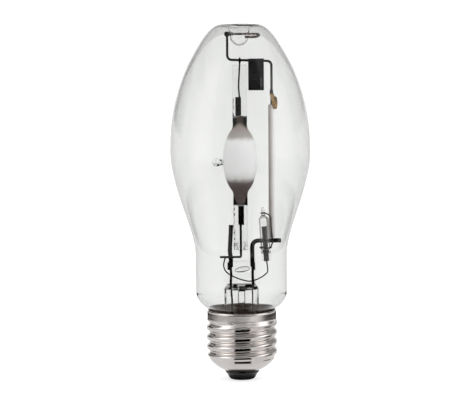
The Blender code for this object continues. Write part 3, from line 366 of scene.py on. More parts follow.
# Each patch: its turns, its heights, how soft each is, and its level
STUDIO_PATCHES = (
    (ALL_ROUND, (-2.0, 0.25), 0.2, 0.2, 0.92),
    (ALL_ROUND, (0.62, 2.0), 0.2, 0.15, 0.5),
    ((-1.45, -0.75), (-2.0, 0.7), 0.3, 0.15, 2.0),
    ((1.0, 1.6), (-2.0, 0.55), 0.3, 0.15, 1.9),
    ((1.75, 2.7), (0.02, 0.32), 0.15, 0.04, 0.25),
    ((-2.7, -1.95), (0.0, 0.34), 0.12, 0.03, 0.02),
    ((-0.45, 0.3), (-2.0, 0.5), 0.15, 0.05, 0.5),
    ((-0.55, 0.85), (0.5, 0.86), 0.1, 0.05, 0.05),
    (ALL_ROUND, (0.91, 2.0), 0.2, 0.02, 0.55),
)
FLOOR_LEVEL = 0.8
# The same for the floor, with reaches from the lamp's axis in place of heights
FLOOR_PATCHES = (
    ((-1.45, -0.75), (0.5, 20.0), 0.3, 0.36, 2.0),
    ((1.0, 1.6), (0.5, 20.0), 0.3, 0.36, 1.9),
    (ALL_ROUND, (0.148, 0.196), 0.2, 0.012, 0.03),
    ((-1.6, -0.3), (0.148, 0.196), 0.4, 0.012, 0.55),
    ((-0.4, 0.25), (0.148, 0.196), 0.3, 0.012, 0.7),
    ((-0.5, 0.2), (0.148, 0.17), 0.3, 0.006, 0.42),
    ((0.25, 1.2), (0.148, 0.196), 0.35, 0.012, 0.95),
    ((1.3, 1.9), (0.05, 0.135), 0.15, 0.01, 0.12),
    ((-0.8, 0.75), (0.21, 0.45), 0.2, 0.012, 0.05),
    ((-0.45, 0.3), (0.222, 20.0), 0.15, 0.012, 0.05),
    ((-0.38, 0.46), (0.015, 0.143), 0.04, 0.003, 0.0),
    (ALL_ROUND, (-1.0, 0.0065), 0.2, 0.001, 0.05),
)
FLOOR_R = 12.0
PAPER = (0.8, 0.8, 0.8)
# The floor that the camera sees: half its light comes from itself, so that it stays white
SHADED = (0.4, 0.4, 0.4)
GLOW = 0.64
LAMP_AIM = (0.0, 0.0, 0.07)
LAMP_SIDE = 0.5
LAMPS = (("left_lamp", (-0.7, -0.5, 0.7), 1.0), ("right_lamp", (0.8, -0.3, 0.4), 2.4))


# Making shapes


def show(name, data):
    """Puts a mesh, a curve, a light or a camera into the scene."""
    thing = bpy.data.objects.new(name, data)
    bpy.context.collection.objects.link(thing)
    return thing


def solid(name, builder):
    """Makes an object from a bmesh whose faces form one closed skin."""
    bmesh.ops.recalc_face_normals(builder, faces=builder.faces)
    mesh = bpy.data.meshes.new(name)
    builder.to_mesh(mesh)
    builder.free()
    mesh.shade_smooth()
    mesh.set_sharp_from_angle(angle=SHARP_ANGLE)
    return show(name, mesh)


def join(keeper, other):
    """Adds another object's faces, turned inside out, to the first one's mesh."""
    other.data.flip_normals()
    builder = bmesh.new()
    builder.from_mesh(keeper.data)
    builder.from_mesh(other.data)
    builder.to_mesh(keeper.data)
    builder.free()
    bpy.data.objects.remove(other)


def loft(name, rings, through=False):
    """Skins a row of rings. A ring of one point closes an end, and so does a flat face."""
    builder = bmesh.new()
    rows = [[builder.verts.new(point) for point in ring] for ring in rings]
    pairs = list(zip(rows, rows[1:]))
    if through:
        pairs.append((rows[-1], rows[0]))
    for near, far in pairs:
        count = max(len(near), len(far))
        for i in range(count):
            j = (i + 1) % count
            corners = [near[i % len(near)], near[j % len(near)], far[j % len(far)], far[i % len(far)]]
            builder.faces.new(dict.fromkeys(corners))
    if not through:
        for row in (rows[0], rows[-1]):
            if len(row) > 2:
                builder.faces.new(row)
    return solid(name, builder)


def circle(radius, z, segments):
    if radius < 1e-9:
        return [(0.0, 0.0, z)]
    turns = [2 * math.pi * i / segments for i in range(segments)]
    return [(radius * math.cos(a), radius * math.sin(a), z) for a in turns]


def lathe(name, outline, segments=LATHE_SEGMENTS):
    """Turns an outline of (radius, z) round Z. It runs from axis to axis, or is a closed loop."""
    rings = [circle(r, z, segments) for r, z in outline]
    return loft(name, rings, through=len(rings[0]) > 1)


def section(half_x, half_y, z, squareness=2.0, centre_x=0.0):
    """An oval across Z, or a rounded box where squareness is well over 2."""
    ring = []
    for i in range(SECTION_POINTS):
        a = 2 * math.pi * (i + 0.5) / SECTION_POINTS
        x, y = (math.copysign(abs(part) ** (2 / squareness), part) for part in (math.cos(a), math.sin(a)))
        ring.append((centre_x + half_x * x, half_y * y, z))
    return ring


def eased(before, start, end, after, t):
    """A value on its way from start to end, with no overshoot."""
    step = end - start
    leave = (end - before) / 2 if step * (start - before) > 0 else 0.0
    arrive = (after - start) / 2 if step * (after - end) > 0 else 0.0
    leave, arrive = (math.copysign(min(abs(slope), 3 * abs(step)), slope) for slope in (leave, arrive))
    return ((2 * t ** 3 - 3 * t * t + 1) * start + (t ** 3 - 2 * t * t + t) * leave
            + (3 * t * t - 2 * t ** 3) * end + (t ** 3 - t * t) * arrive)


def blended_sections(keys, steps, centre_x=0.0):
    """Rings eased between key sections of (height, half width, half depth, squareness)."""
    rows = []
    for i in range(len(keys) - 1):
        around = (keys[max(i - 1, 0)], keys[i], keys[i + 1], keys[min(i + 2, len(keys) - 1)])
        rows += [[eased(*column, k / steps) for column in zip(*around)] for k in range(steps)]
    rows.append(keys[-1])
    return [section(half_x, half_y, z, squareness, centre_x) for z, half_x, half_y, squareness in rows]


def round_keys(*places):
    """Key sections that are round, from (height, radius)."""
    return [(z, r, r, 2.0) for z, r in places]


def arc(centre, size, start, end, steps):
    """Points on an oval in the plane of an outline, from one turn to another."""
    turns = [start + (end - start) * i / steps for i in range(steps + 1)]
    return [Vector((centre[0] + size[0] * math.cos(a), centre[1] + size[1] * math.sin(a))) for a in turns]


def bezier(start, leave, arrive, end, count):
    """Points on a cubic curve in (radius, z), its last one left to the stretch that follows."""
    start, leave, arrive, end = (Vector(p) for p in (start, leave, arrive, end))
    points = []
    for i in range(count):
        t = i / count
        u = 1 - t
        points.append(u ** 3 * start + 3 * u * u * t * leave + 3 * u * t * t * arrive + t ** 3 * end)
    return points


def offset(outline, distance):
    """Moves an open outline to the right of its direction of travel."""
    moved = []
    last = len(outline) - 1
    for i, point in enumerate(outline):
        along = (outline[min(i + 1, last)] - outline[max(i - 1, 0)]).normalized()
        moved.append(point + distance * Vector((along.y, -along.x)))
    return moved


def radius_at(outline, z):
    """An outline's radius at a height that it passes on its way down."""
    for above, below in zip(outline, outline[1:]):
        if above.y >= z > below.y:
            return below.x + (above.x - below.x) * (z - below.y) / (above.y - below.y)


def wire(name, points, diameter):
    """A round wire along a path, with flat ends."""
    curve = bpy.data.curves.new(name, "CURVE")
    curve.dimensions = "3D"
    curve.bevel_depth = diameter / 2
    curve.bevel_resolution = WIRE_ROUNDNESS
    curve.use_fill_caps = True
    spline = curve.splines.new("POLY")
    spline.points.add(len(points) - 1)
    for knot, spot in zip(spline.points, points):
        knot.co = (*spot, 1.0)
    spline.use_smooth = True
    return show(name, curve)


def bent(corners, radius, steps=10):
    """Straight runs between corners, with each corner rounded to the radius where it has room."""
    corners = [Vector(corner) for corner in corners]
    path = [corners[0]]
    for before, corner, after in zip(corners, corners[1:], corners[2:]):
        back, on = before - corner, after - corner
        turn = math.pi - back.angle(on)
        if turn < 0.02:
            path.append(corner)
            continue
        setback = min(radius * math.tan(turn / 2), min(back.length, on.length) * 0.49)
        first, last = corner + back.normalized() * setback, corner + on.normalized() * setback
        for i in range(steps + 1):
            t = i / steps
            path.append((1 - t) ** 2 * first + 2 * t * (1 - t) * corner + t * t * last)
    path.append(corners[-1])
    return path


def smooth(points, steps=10):
    """A curve through every point."""
    points = [Vector(point) for point in points]
    path = []
    for i in range(len(points) - 1):
        before, start = points[max(i - 1, 0)], points[i]
        end, after = points[i + 1], points[min(i + 2, len(points) - 1)]
        for k in range(steps):
            t = k / steps
            path.append(
                0.5 * (2 * start + (end - before) * t + (2 * before - 5 * start + 4 * end - after) * t * t
                       + (3 * start - before - 3 * end + after) * t ** 3)
            )
    path.append(points[-1])
    return path


def ease(t):
    t = min(max(t, 0.0), 1.0)
    return t * t * (3 - 2 * t)


# Outlines


def dimple_outline():
    """The air side of the dimple, from its closed bottom up to the bulb's lip."""
    floor_z = BULB_TOP_Z - DIMPLE_DEPTH
    bowl = bezier((0.0, floor_z), (DIMPLE_R * 0.55, floor_z), (DIMPLE_R, floor_z + DIMPLE_R * 0.5),
                  (DIMPLE_R, DIMPLE_Z), 14)
    lip = bezier((DIMPLE_R, DIMPLE_Z), (DIMPLE_R, DIMPLE_Z + DIMPLE_LIP),
                 (MOUTH_R - DIMPLE_LIP, BULB_TOP_Z), (MOUTH_R, BULB_TOP_Z), 14)
    return bowl + lip


def throat_outline():
    """Where the neck turns in under its foot and runs down inside the cap to the seal."""
    throat_z = RIM_Z + THROAT_LIFT
    turned_z = throat_z - THROAT_TURN
    turn = bezier((THROAT_R, throat_z), (THROAT_R - THROAT_TURN * 0.36, throat_z - THROAT_TURN * 0.2),
                  (SEAL_R, throat_z - THROAT_TURN * 0.36), (SEAL_R, turned_z), 12)
    return turn + [Vector((SEAL_R, turned_z)), Vector((SEAL_R, SEAL_Z))]


def bulb_outline():
    """The bulb's air side, from the bottom of the dimple to the seal inside the cap."""
    mouth, shoulder = Vector((MOUTH_R, BULB_TOP_Z)), Vector((SHOULDER_R, SHOULDER_Z))
    bulge, neck = Vector((BULGE_R, BULGE_Z)), Vector((NECK_R, NECK_TOP_Z))
    neck_foot, throat = Vector((NECK_R, NECK_FOOT_Z)), Vector((THROAT_R, RIM_Z + THROAT_LIFT))
    up = Vector((0.0, 1.0))
    crown = bezier(mouth, mouth + Vector(CROWN_RUN), shoulder + Vector(SHOULDER_RUN_UP), shoulder, 20)
    upper = bezier(shoulder, shoulder + Vector(SHOULDER_RUN_DOWN), bulge + up * BULGE_RUN_UP, bulge, 24)
    lower = bezier(bulge, bulge - up * BULGE_RUN_DOWN, neck + up * NECK_RUN_UP, neck, 30)
    foot = bezier(neck_foot, neck_foot - up * NECK_RUN_DOWN, throat + Vector(FOOT_RUN), throat, 16)
    straight = [neck + (neck_foot - neck) * share for share in (0.0, 0.04, 0.2, 0.5, 0.8, 0.96)]
    return dimple_outline() + crown + upper + lower + straight + foot + throat_outline()


def thread_radius(z, turn):
    """The rolled shell's outer radius, a rounded right-hand thread that fades into skirt and foot."""
    phase = 2 * math.pi * (z - CREST_Z) / PITCH - turn
    groove_z = z - PITCH * ((phase / (2 * math.pi)) % 1 - 0.5)
    depth = (CREST_R - ROOT_R) * ((1 - math.cos(phase)) / 2) ** CREST_FULLNESS
    radius = CREST_R - depth * (1 - ease((groove_z - LAST_GROOVE_Z) / GROOVE_RUN_OUT + 1))
    radius += (SKIRT_R - radius) * ease((z - THREAD_TOP_Z) / THREAD_RUN_OUT + 1)
    return radius + (FOOT_TOP_R - radius) * ease((THREAD_FOOT_Z - z) / THREAD_RUN_OUT + 1)


def shell_outline(turn):
    """Rim, skirt, thread and foot on one side of the shell."""
    skirt_z = RIM_Z - RIM_ROLL
    rim = arc((RIM_R, skirt_z), (SKIRT_R - RIM_R, RIM_ROLL), math.pi / 2, 0.0, 6)
    skirt = [Vector((SKIRT_R, skirt_z - (skirt_z - THREAD_TOP_Z) * i / 5)) for i in range(1, 5)]
    rows = round((THREAD_TOP_Z - THREAD_FOOT_Z) / PITCH * ROWS_PER_PITCH)
    heights = [THREAD_TOP_Z + (THREAD_FOOT_Z - THREAD_TOP_Z) * i / rows for i in range(rows)]
    thread = [Vector((thread_radius(z, turn), z)) for z in heights]
    reach, drop = FOOT_TOP_R - FOOT_HOLE_R, THREAD_FOOT_Z - FOOT_HOLE_Z
    hole = Vector((FOOT_HOLE_R, FOOT_HOLE_Z))
    foot = bezier((FOOT_TOP_R, THREAD_FOOT_Z), (FOOT_TOP_R - reach * 0.12, THREAD_FOOT_Z - drop * 0.32),
                  hole + Vector((reach * 0.42, drop * 0.2)), hole, FOOT_STEPS)
    return rim + skirt + thread + foot + [hole]


def flare_outline():
    """The stem tube's outer side, from under the press to the rim that the neck is sealed to."""
    rim_z = SEAL_Z - CLEARANCE
    tube = [Vector((STEM_TUBE_R, STEM_TUBE_Z - down)) for down in STEM_TUBE_ROWS]
    flare = bezier((STEM_TUBE_R, FLARE_START_Z), (STEM_TUBE_R, FLARE_START_Z - FLARE_RUN),
                   (STEM_TUBE_R + FLARE_RUN * 0.25, rim_z), (SEAL_R, rim_z), 16)
    return tube + flare + [Vector((SEAL_R, rim_z))]


# Places


def frame_y():
    """The frame wire runs behind the hook that it is welded to."""
    return POST_D / 2 + CLEARANCE + FRAME_D / 2


def ring_centre_x():
    """The frame's top ring hangs on the dimple by its left side."""
    return RING_R - (DIMPLE_R + GLASS_WALL + CLEARANCE) - FRAME_D / 2


def frame_top_z(x):
    """The height of the frame's top run."""
    left_x = ring_centre_x() - RING_R
    return FRAME_TOP_Z + FRAME_RISE * (FRAME_TOP_X - x) / (FRAME_TOP_X - left_x)


def frame_x(z):
    """Where the frame's right-hand upright stands at a height."""
    return FRAME_X + (FRAME_TOP_X - FRAME_X) * (z - FRAME_FOOT_Z) / (FRAME_TOP_Z - FRAME_FOOT_Z)


def crossbar_y():
    return -(POST_D / 2 + CLEARANCE + LOWER_LEAD_D / 2)


def capsule_y():
    """The capsule stands in front of the hook."""
    return -(POST_D / 2 + CLEARANCE + CAPSULE_R)


def on_capsule(height, reach=0.0, turn=0.0):
    """A point at a height on the capsule's own axis, or at a reach from it."""
    x = CAPSULE_X + height * math.sin(CAPSULE_TILT) + reach * math.cos(turn)
    return Vector((x, capsule_y() + reach * math.sin(turn), HOOK_Z + height * math.cos(CAPSULE_TILT)))


def round_capsule(height, reach, start, sweep, steps):
    """Points round the capsule at a height, from one turn on, in degrees."""
    return [on_capsule(height, reach, math.radians(start + sweep * i / steps)) for i in range(steps + 1)]


# Material nodes

LOOKS = {}


def blank(name):
    """A new look: its node tree and its Principled shader."""
    material = LOOKS[name] = bpy.data.materials.new(name)
    material.use_nodes = True
    return material.node_tree, material.node_tree.nodes["Principled BSDF"]


def wire_up(tree, node, inputs):
    """Gives a node's inputs numbers, colours or another node's socket."""
    for key, value in inputs.items():
        socket = node.inputs[key]
        if isinstance(value, bpy.types.NodeSocket):
            tree.links.new(value, socket)
        else:
            socket.default_value = (*value, 1.0) if socket.type == "RGBA" else value


def add(tree, kind, inputs=(), **settings):
    node = tree.nodes.new("ShaderNode" + kind)
    for key, value in settings.items():
        setattr(node, key, value)
    wire_up(tree, node, dict(inputs))
    return node


def sums(tree, operation, first, second=0.0, third=0.0):
    return add(tree, "Math", {0: first, 1: second, 2: third}, operation=operation).outputs[0]


def times(tree, first, second):
    return sums(tree, "MULTIPLY", first, second)


def place(tree):
    return add(tree, "TexCoord").outputs["Object"]


def axes(tree, spot=None):
    """A place's x, y and z, or the piece's own where none is given."""
    return add(tree, "SeparateXYZ", {0: spot or place(tree)}).outputs


def from_axis(tree, spot):
    """How far x and y reach from the piece's axis."""
    flat = add(tree, "CombineXYZ", {0: spot[0], 1: spot[1]}).outputs[0]
    return add(tree, "VectorMath", {0: flat}, operation="LENGTH").outputs["Value"]


def noise(tree, scale, detail=3.0, stretch=WHITE, rough=0.5):
    """Noise in the piece's own space, with its scale per metre."""
    spot = add(tree, "Mapping", {"Vector": place(tree), "Scale": stretch}).outputs[0]
    return add(tree, "TexNoise", {"Vector": spot, "Scale": scale, "Detail": detail,
                                  "Roughness": rough}).outputs["Fac"]


def spread(tree, value, start, end, to_start=0.0, to_end=1.0, smooth_edge=False):
    """Maps a value from one range to another, and holds it at the ends."""
    kind = "SMOOTHSTEP" if smooth_edge else "LINEAR"
    return add(tree, "MapRange", {"Value": value, "From Min": start, "From Max": end, "To Min": to_start,
                                  "To Max": to_end}, interpolation_type=kind).outputs["Result"]


def vary(tree, clouds, least, most):
    """A value that follows a noise from its darker places to its lighter ones."""
    return spread(tree, clouds, 0.3, 0.7, least, most)


def window(tree, value, start, end, soft):
    """Rises to one between two values, with soft edges."""
    rise = spread(tree, value, start - soft, start + soft, 0.0, 1.0, True)
    return times(tree, rise, spread(tree, value, end - soft, end + soft, 1.0, 0.0, True))


def ramp(tree, value, stops):
    node = add(tree, "ValToRGB", {"Fac": value})
    elements = node.color_ramp.elements
    while len(elements) < len(stops):
        elements.new(0.5)
    for element, (where, colour) in zip(elements, stops):
        element.position = where
        element.color = (*colour, 1.0)
    return node.outputs["Color"]


def tint(tree, share, first, second):
    """The first colour where share is nought and the second where it is one."""
    return add(tree, "Mix", {0: share, 6: first, 7: second}, data_type="RGBA").outputs[2]


def blend(tree, share, first, second):
    """The first value where share is nought and the second where it is one."""
    return add(tree, "Mix", {0: share, 2: first, 3: second}).outputs[0]


def dent(tree, height, distance):
    """A bump whose height is given in metres."""
    return add(tree, "Bump", {"Height": height, "Distance": distance, "Strength": 1.0}).outputs[0]


# Looks


def glass(name, colour, ior, ripple, ripple_scale):
    """Clear glass that lets the lamps' light through to what it encloses."""
    tree, shader = blank(name)
    wire_up(tree, shader, {"Base Color": colour, "Roughness": 0.0, "IOR": ior, "Transmission Weight": 1.0,
                           "Normal": dent(tree, noise(tree, ripple_scale, 2.0), ripple)})
    clear = add(tree, "BsdfTransparent", {"Color": (0.96, 0.96, 0.96)})
    mixed = add(tree, "MixShader", {0: add(tree, "LightPath").outputs["Is Shadow Ray"],
                                    1: shader.outputs[0], 2: clear.outputs[0]})
    wire_up(tree, tree.nodes["Material Output"], {"Surface": mixed.outputs[0]})
    return tree, shader


def bulb_glass():
    """Faintly grey glass, clearer round the dimple, with a broken ring of painted dark reflection on the
    dimple's lip.
    """
    tree, shader = glass("clear_glass", BULB_TINT, BULB_INDEX, 0.03 * MM, 60.0)
    spot = axes(tree)
    reach = from_axis(tree, spot)
    high_up = spread(tree, spot[2], DIMPLE_Z - 8 * MM, DIMPLE_Z - 3 * MM)
    clearer = times(tree, high_up, spread(tree, reach, 9 * MM, 5 * MM, 0.0, 1.0, True))
    # The lip's dark marks are painted reflection of dark surroundings, broken by noise.
    reflection_z = BULB_TOP_Z - LIP_DARK_REFLECTION_DEPTH
    lip = times(tree, window(tree, reach, *LIP_DARK_REFLECTION, 0.1 * MM),
                spread(tree, spot[2], reflection_z, reflection_z + 0.1 * MM))
    broken = spread(tree, noise(tree, 170.0, 1.0), 0.5, 0.51)
    colour = tint(tree, times(tree, lip, broken), tint(tree, clearer, BULB_TINT, WHITE), (0.01, 0.01, 0.01))
    wire_up(tree, shader, {"Base Color": colour})


def tip_quartz():
    """Quartz with broken black marks, where the melted tip throws back the dark of the wires."""
    tree, shader = glass("tip_quartz", WHITE, MELTED_INDEX, 0.1 * MM, 260.0)
    share = spread(tree, noise(tree, 800.0, 2.0), 0.57, 0.6)
    wire_up(tree, shader, {"Base Color": tint(tree, share, WHITE, (0.002, 0.002, 0.002))})


def stem_glass():
    """Clear glass with painted dark reflections on the front of the press's foot, made opaque black there."""
    tree, shader = glass("stem_glass", WHITE, STEM_INDEX, 0.04 * MM, 260.0)
    rags = vary(tree, noise(tree, 1100.0, 3.0), -0.3 * MM, 0.3 * MM)
    spot = axes(tree)
    across, height = sums(tree, "ADD", spot[0], rags), sums(tree, "ADD", spot[2], rags)
    share = 0.0
    for x, z, half_wide, half_high in DARK_REFLECTION_MARKS:
        wide = window(tree, across, (x - half_wide) * MM, (x + half_wide) * MM, 0.08 * MM)
        tall = window(tree, height, (z - half_high) * MM, (z + half_high) * MM, 0.08 * MM)
        share = sums(tree, "MAXIMUM", share, times(tree, wide, tall))
    # Only the front of the press gets the painted dark reflections.
    share = times(tree, share, spread(tree, spot[1], -1.0 * MM, -1.2 * MM))
    wire_up(tree, shader, {"Base Color": tint(tree, share, WHITE, SHADE_BLACK), "Roughness": times(tree, share, 0.5),
                           "Transmission Weight": sums(tree, "SUBTRACT", 1.0, share)})


def metal(name):
    """Drawn or rolled metal with patches of tarnish and a fine grain."""
    dark, light, rough, scale, finish = METALS[name]
    tree, shader = blank(name)
    patches = noise(tree, scale, 4.0)
    wire_up(tree, shader, {"Base Color": ramp(tree, patches, [(0.35, dark), (0.65, light)]),
                           "Roughness": vary(tree, patches, *rough),
                           "Normal": dent(tree, noise(tree, scale * 12, 2.0), PIT_DEPTH), **finish})
    return tree, shader


def frame_steel():
    """Dark wire that has gone reddish at the ring's end, which the burner baked the most."""
    tree, shader = metal("frame_steel")
    spot = axes(tree)
    baked = times(tree, spread(tree, spot[0], 0.5 * MM, 2.0 * MM),
                  spread(tree, spot[2], 127.5 * MM, 128 * MM))
    rust = ramp(tree, noise(tree, 900.0), [(0.4, (0.05, 0.035, 0.032)), (0.6, (0.42, 0.33, 0.31))])
    plain = shader.inputs["Base Color"].links[0].from_socket
    wire_up(tree, shader, {"Base Color": tint(tree, baked, plain, rust)})


def nickel_plate():
    """Plated sheet, turned under the rollers, so that its grain runs round the cap."""
    tree, shader = blank("nickel_plate")
    grain = noise(tree, 900.0, 3.0, (0.12, 0.12, 4.0))
    clouds = noise(tree, 160.0, 4.0)
    colour = ramp(tree, clouds, [(0.3, (0.62, 0.58, 0.56)), (0.7, (0.74, 0.705, 0.68))])
    rough = sums(tree, "ADD", vary(tree, clouds, 0.06, 0.11), vary(tree, grain, -0.02, 0.05))
    wire_up(tree, shader, {"Base Color": colour, "Metallic": 1.0, "Roughness": rough,
                           "Normal": dent(tree, grain, 0.0007 * MM)})


def black_glass():
    tree, shader = blank("black_glass")
    clouds = noise(tree, 420.0, 4.0)
    colour = ramp(tree, clouds, [(0.4, (0.002, 0.0015, 0.0015)), (0.75, (0.008, 0.006, 0.006))])
    wire_up(tree, shader, {"Base Color": colour, "Roughness": vary(tree, clouds, 0.05, 0.18), "IOR": 1.55,
                           "Normal": dent(tree, clouds, 0.05 * MM)})


def cement():
    """Baked resin cement, brown and gritty, with painted shadow in the gap along the shell."""
    tree, shader = blank("cement")
    grit = noise(tree, 1400.0, 6.0, rough=0.7)
    clouds = noise(tree, 240.0, 4.0)
    both = sums(tree, "ADD", times(tree, grit, 0.45), times(tree, clouds, 0.55))
    colour = ramp(tree, both, [(0.36, (0.045, 0.024, 0.018)), (0.62, (0.19, 0.125, 0.095))])
    shadow = spread(tree, from_axis(tree, axes(tree)), 10.6 * MM, 11.6 * MM, 0.0, 0.75)
    wire_up(tree, shader, {"Base Color": tint(tree, shadow, colour, (0.006, 0.003, 0.002)), "Roughness": 0.9,
                           "Normal": dent(tree, grit, 0.12 * MM)})


def pinch_shade_and_marks(tree, spot, side):
    """Dark lines along the pinch's edges: a faint painted shade for the dark that the edges refract, with
    dark specks at the upper left; and smudges low down.
    """
    specks = spread(tree, noise(tree, 1500.0, 3.0, (1.0, 1.0, 0.7)), 0.42, 0.52)
    edge = window(tree, side, 2.05 * MM, 2.75 * MM, 0.08 * MM)
    left = spread(tree, spot[0], 0.0, -0.1 * MM)
    coat_z = UPPER_COAT_Z[1]
    speckled = times(tree, left, spread(tree, spot[2], coat_z + 7.5 * MM, coat_z + 6.5 * MM))
    # A faint painted shade along both edges everywhere, darker where the specks are.
    line = times(tree, edge, sums(tree, "MULTIPLY_ADD", times(tree, speckled, specks), 0.85, 0.12))
    smudge = times(tree, window(tree, side, 0.9 * MM, 1.9 * MM, 0.3 * MM),
                   spread(tree, spot[2], 52.6 * MM, 51.6 * MM, 0.0, 0.55))
    return sums(tree, "MAXIMUM", line, times(tree, smudge, specks))


def arc_quartz():
    """Milky round the arc, coated at both ends of the barrel, dark at the necks with painted shade at their
    flanks, and clear at the pinches.
    """
    tree, shader = blank("arc_quartz")
    spot = axes(tree)
    side = sums(tree, "ABSOLUTE", sums(tree, "SUBTRACT", spot[0], ARC_X))
    near = sums(tree, "MINIMUM", side, PINCH_HALF_WIDTH)
    bow = times(tree, near, near)
    clouds = noise(tree, 420.0, 5.0)
    height = sums(tree, "ADD", spot[2], vary(tree, clouds, -0.4 * MM, 0.4 * MM))
    foot, top = LOWER_COAT_Z[0], UPPER_COAT_Z[1]
    stops = [((z - foot) / (top - foot), colour) for z, colour in COAT_TONES]
    colour = ramp(tree, spread(tree, height, foot, top), stops)
    # Painted shade: the necks go black towards their flanks, where the surface turns away.
    flank_shade = spread(tree, side, 0.9 * MM, 1.8 * MM, 0.0, 1.0, True)
    for arch, start_z, end_z, middle in (
            (UPPER_ARCH, UPPER_NECK_Z - 0.5 * MM, UPPER_NECK_Z + 0.9 * MM, (0.05, 0.038, 0.03)),
            (-LOWER_ARCH, LOWER_NECK_Z + 0.6 * MM, LOWER_NECK_Z - 0.8 * MM, (0.04, 0.034, 0.032))):
        dark_neck = spread(tree, sums(tree, "MULTIPLY_ADD", bow, arch, height), start_z, end_z)
        colour = tint(tree, dark_neck, colour, tint(tree, flank_shade, middle, SHADE_BLACK))
    beyond = sums(tree, "MAXIMUM", spread(tree, height, top, top + 0.5 * MM),
                  spread(tree, height, foot, foot - 0.5 * MM))
    clear = tint(tree, pinch_shade_and_marks(tree, spot, side), (0.97, 0.97, 0.97), (0.03, 0.028, 0.026))
    wire_up(tree, shader, {"Base Color": tint(tree, beyond, colour, clear), "Transmission Weight": beyond,
                           "IOR": MELTED_INDEX, "Roughness": spread(tree, beyond, 0.0, 1.0, 0.3, 0.02),
                           "Specular IOR Level": 0.05, "Normal": dent(tree, clouds, 0.03 * MM)})


def sleeve_quartz():
    """Satin quartz with painted shade, brownish: dark on the side that faces the arc and light on the far
    side.
    """
    tree, shader = blank("sleeve_quartz")
    clouds = noise(tree, 500.0, 3.0, (1.0, 1.0, 0.2))
    shifted = sums(tree, "ADD", axes(tree)[0], vary(tree, clouds, -0.12 * MM, 0.12 * MM))
    # Painted shade: dark on one side of the sleeve and light on the other, as if lit from the right.
    colour = ramp(tree, spread(tree, shifted, -SLEEVE_D / 2, SLEEVE_D / 2), SLEEVE_SHADE_TONES)
    wire_up(tree, shader, {"Base Color": colour, "Roughness": vary(tree, clouds, 0.25, 0.38),
                           "IOR": MELTED_INDEX})


def make_looks():
    bulb_glass()
    glass("quartz", (0.97, 0.97, 0.965), QUARTZ_INDEX, 0.02 * MM, 300.0)
    stem_glass()
    tip_quartz()
    nickel_plate()
    black_glass()
    cement()
    frame_steel()
    for name in METALS:
        if name not in LOOKS:
            metal(name)
    sleeve_quartz()
    arc_quartz()


# Pieces


def fit(piece, look, *nodes, slot=None):
    """Dresses a piece and puts it on the lamp's one body, in place of the solids that it stands for."""
    piece.data.materials.append(LOOKS[look])
    slot = slot or SLOTS.get(look, look)
    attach(piece, "root")
    if nodes:
        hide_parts(*nodes)


def make_bead(name, centre, size, look="post_metal"):
    """A small lump of melted metal, a little uneven."""
    builder = bmesh.new()
    bmesh.ops.create_icosphere(builder, subdivisions=4, radius=1.0)
    for vert in builder.verts:
        p = vert.co
        bulge = 1.0 + 0.07 * math.sin(3.1 * p.x + 1.3) * math.cos(2.7 * p.z + 0.4)
        bulge += 0.05 * math.sin(4.3 * p.y)
        vert.co = Vector((p.x * size[0], p.y * size[1], p.z * size[2])) * bulge * MM + Vector(centre)
    fit(solid(name, builder), look)


def make_bulb():
    outer = bulb_outline()
    inner = offset(outer, DRAWN_WALL)
    inner[0] = Vector((0.0, outer[0].y - DRAWN_WALL))
    fit(lathe("bulb_glass", outer + inner[::-1], BULB_SEGMENTS), "clear_glass", "outer_bulb")


def make_shell():
    columns = []
    for i in range(SHELL_SEGMENTS):
        turn = 2 * math.pi * i / SHELL_SEGMENTS
        outer = shell_outline(turn)
        outline = outer + offset(outer, SHELL_WALL)[::-1]
        columns.append([(r * math.cos(turn), r * math.sin(turn), z) for r, z in outline])
    fit(loft("cap_thread", list(zip(*columns)), through=True), "nickel_plate", "screw_shell")


def make_insulator():
    """A glass cup that fills the shell's foot and shows as a button under it."""
    seat_r, seat_z = CONTACT_R + CLEARANCE, CONTACT_THICK + CLEARANCE
    step_z, waist_r = FOOT_HOLE_Z - CLEARANCE, FOOT_HOLE_R - CLEARANCE
    inside = offset(shell_outline(0.0), SHELL_WALL + CLEARANCE)[-FOOT_STEPS - 1:]
    step = [(waist_r, inside[-1].y), (waist_r, step_z), (INSULATOR_R, step_z - INSULATOR_EDGE / 4)]
    rim = bezier((INSULATOR_R - INSULATOR_EDGE / 2, step_z - INSULATOR_EDGE),
                 (INSULATOR_SHOULDER_R, INSULATOR_SHOULDER_Z), (INSULATOR_SHOULDER_R, INSULATOR_TIP_Z),
                 (INSULATOR_TIP_R, INSULATOR_TIP_Z), 18)
    seat = [(INSULATOR_TIP_R, INSULATOR_TIP_Z), (seat_r, INSULATOR_TIP_Z), (seat_r, seat_z), (0.0, seat_z)]
    cup = [(0.0, seat_z + CUP_FLOOR), (inside[0].x - CUP_WALL, inside[0].y)]
    fit(lathe("cap_glass_cup", cup + inside + step + rim + seat), "black_glass", "cap_insulator")


def make_contact():
    disc = [(0.0, 0.0), (CONTACT_R * 0.5, 0.0), (CONTACT_R - CONTACT_EDGE, 0.0),
            (CONTACT_R - CONTACT_EDGE * 0.3, CONTACT_EDGE * 0.3), (CONTACT_R, CONTACT_EDGE),
            (CONTACT_R, CONTACT_THICK), (0.0, CONTACT_THICK)]
    fit(lathe("contact_disc", disc), "contact_brass", "contact_plate")


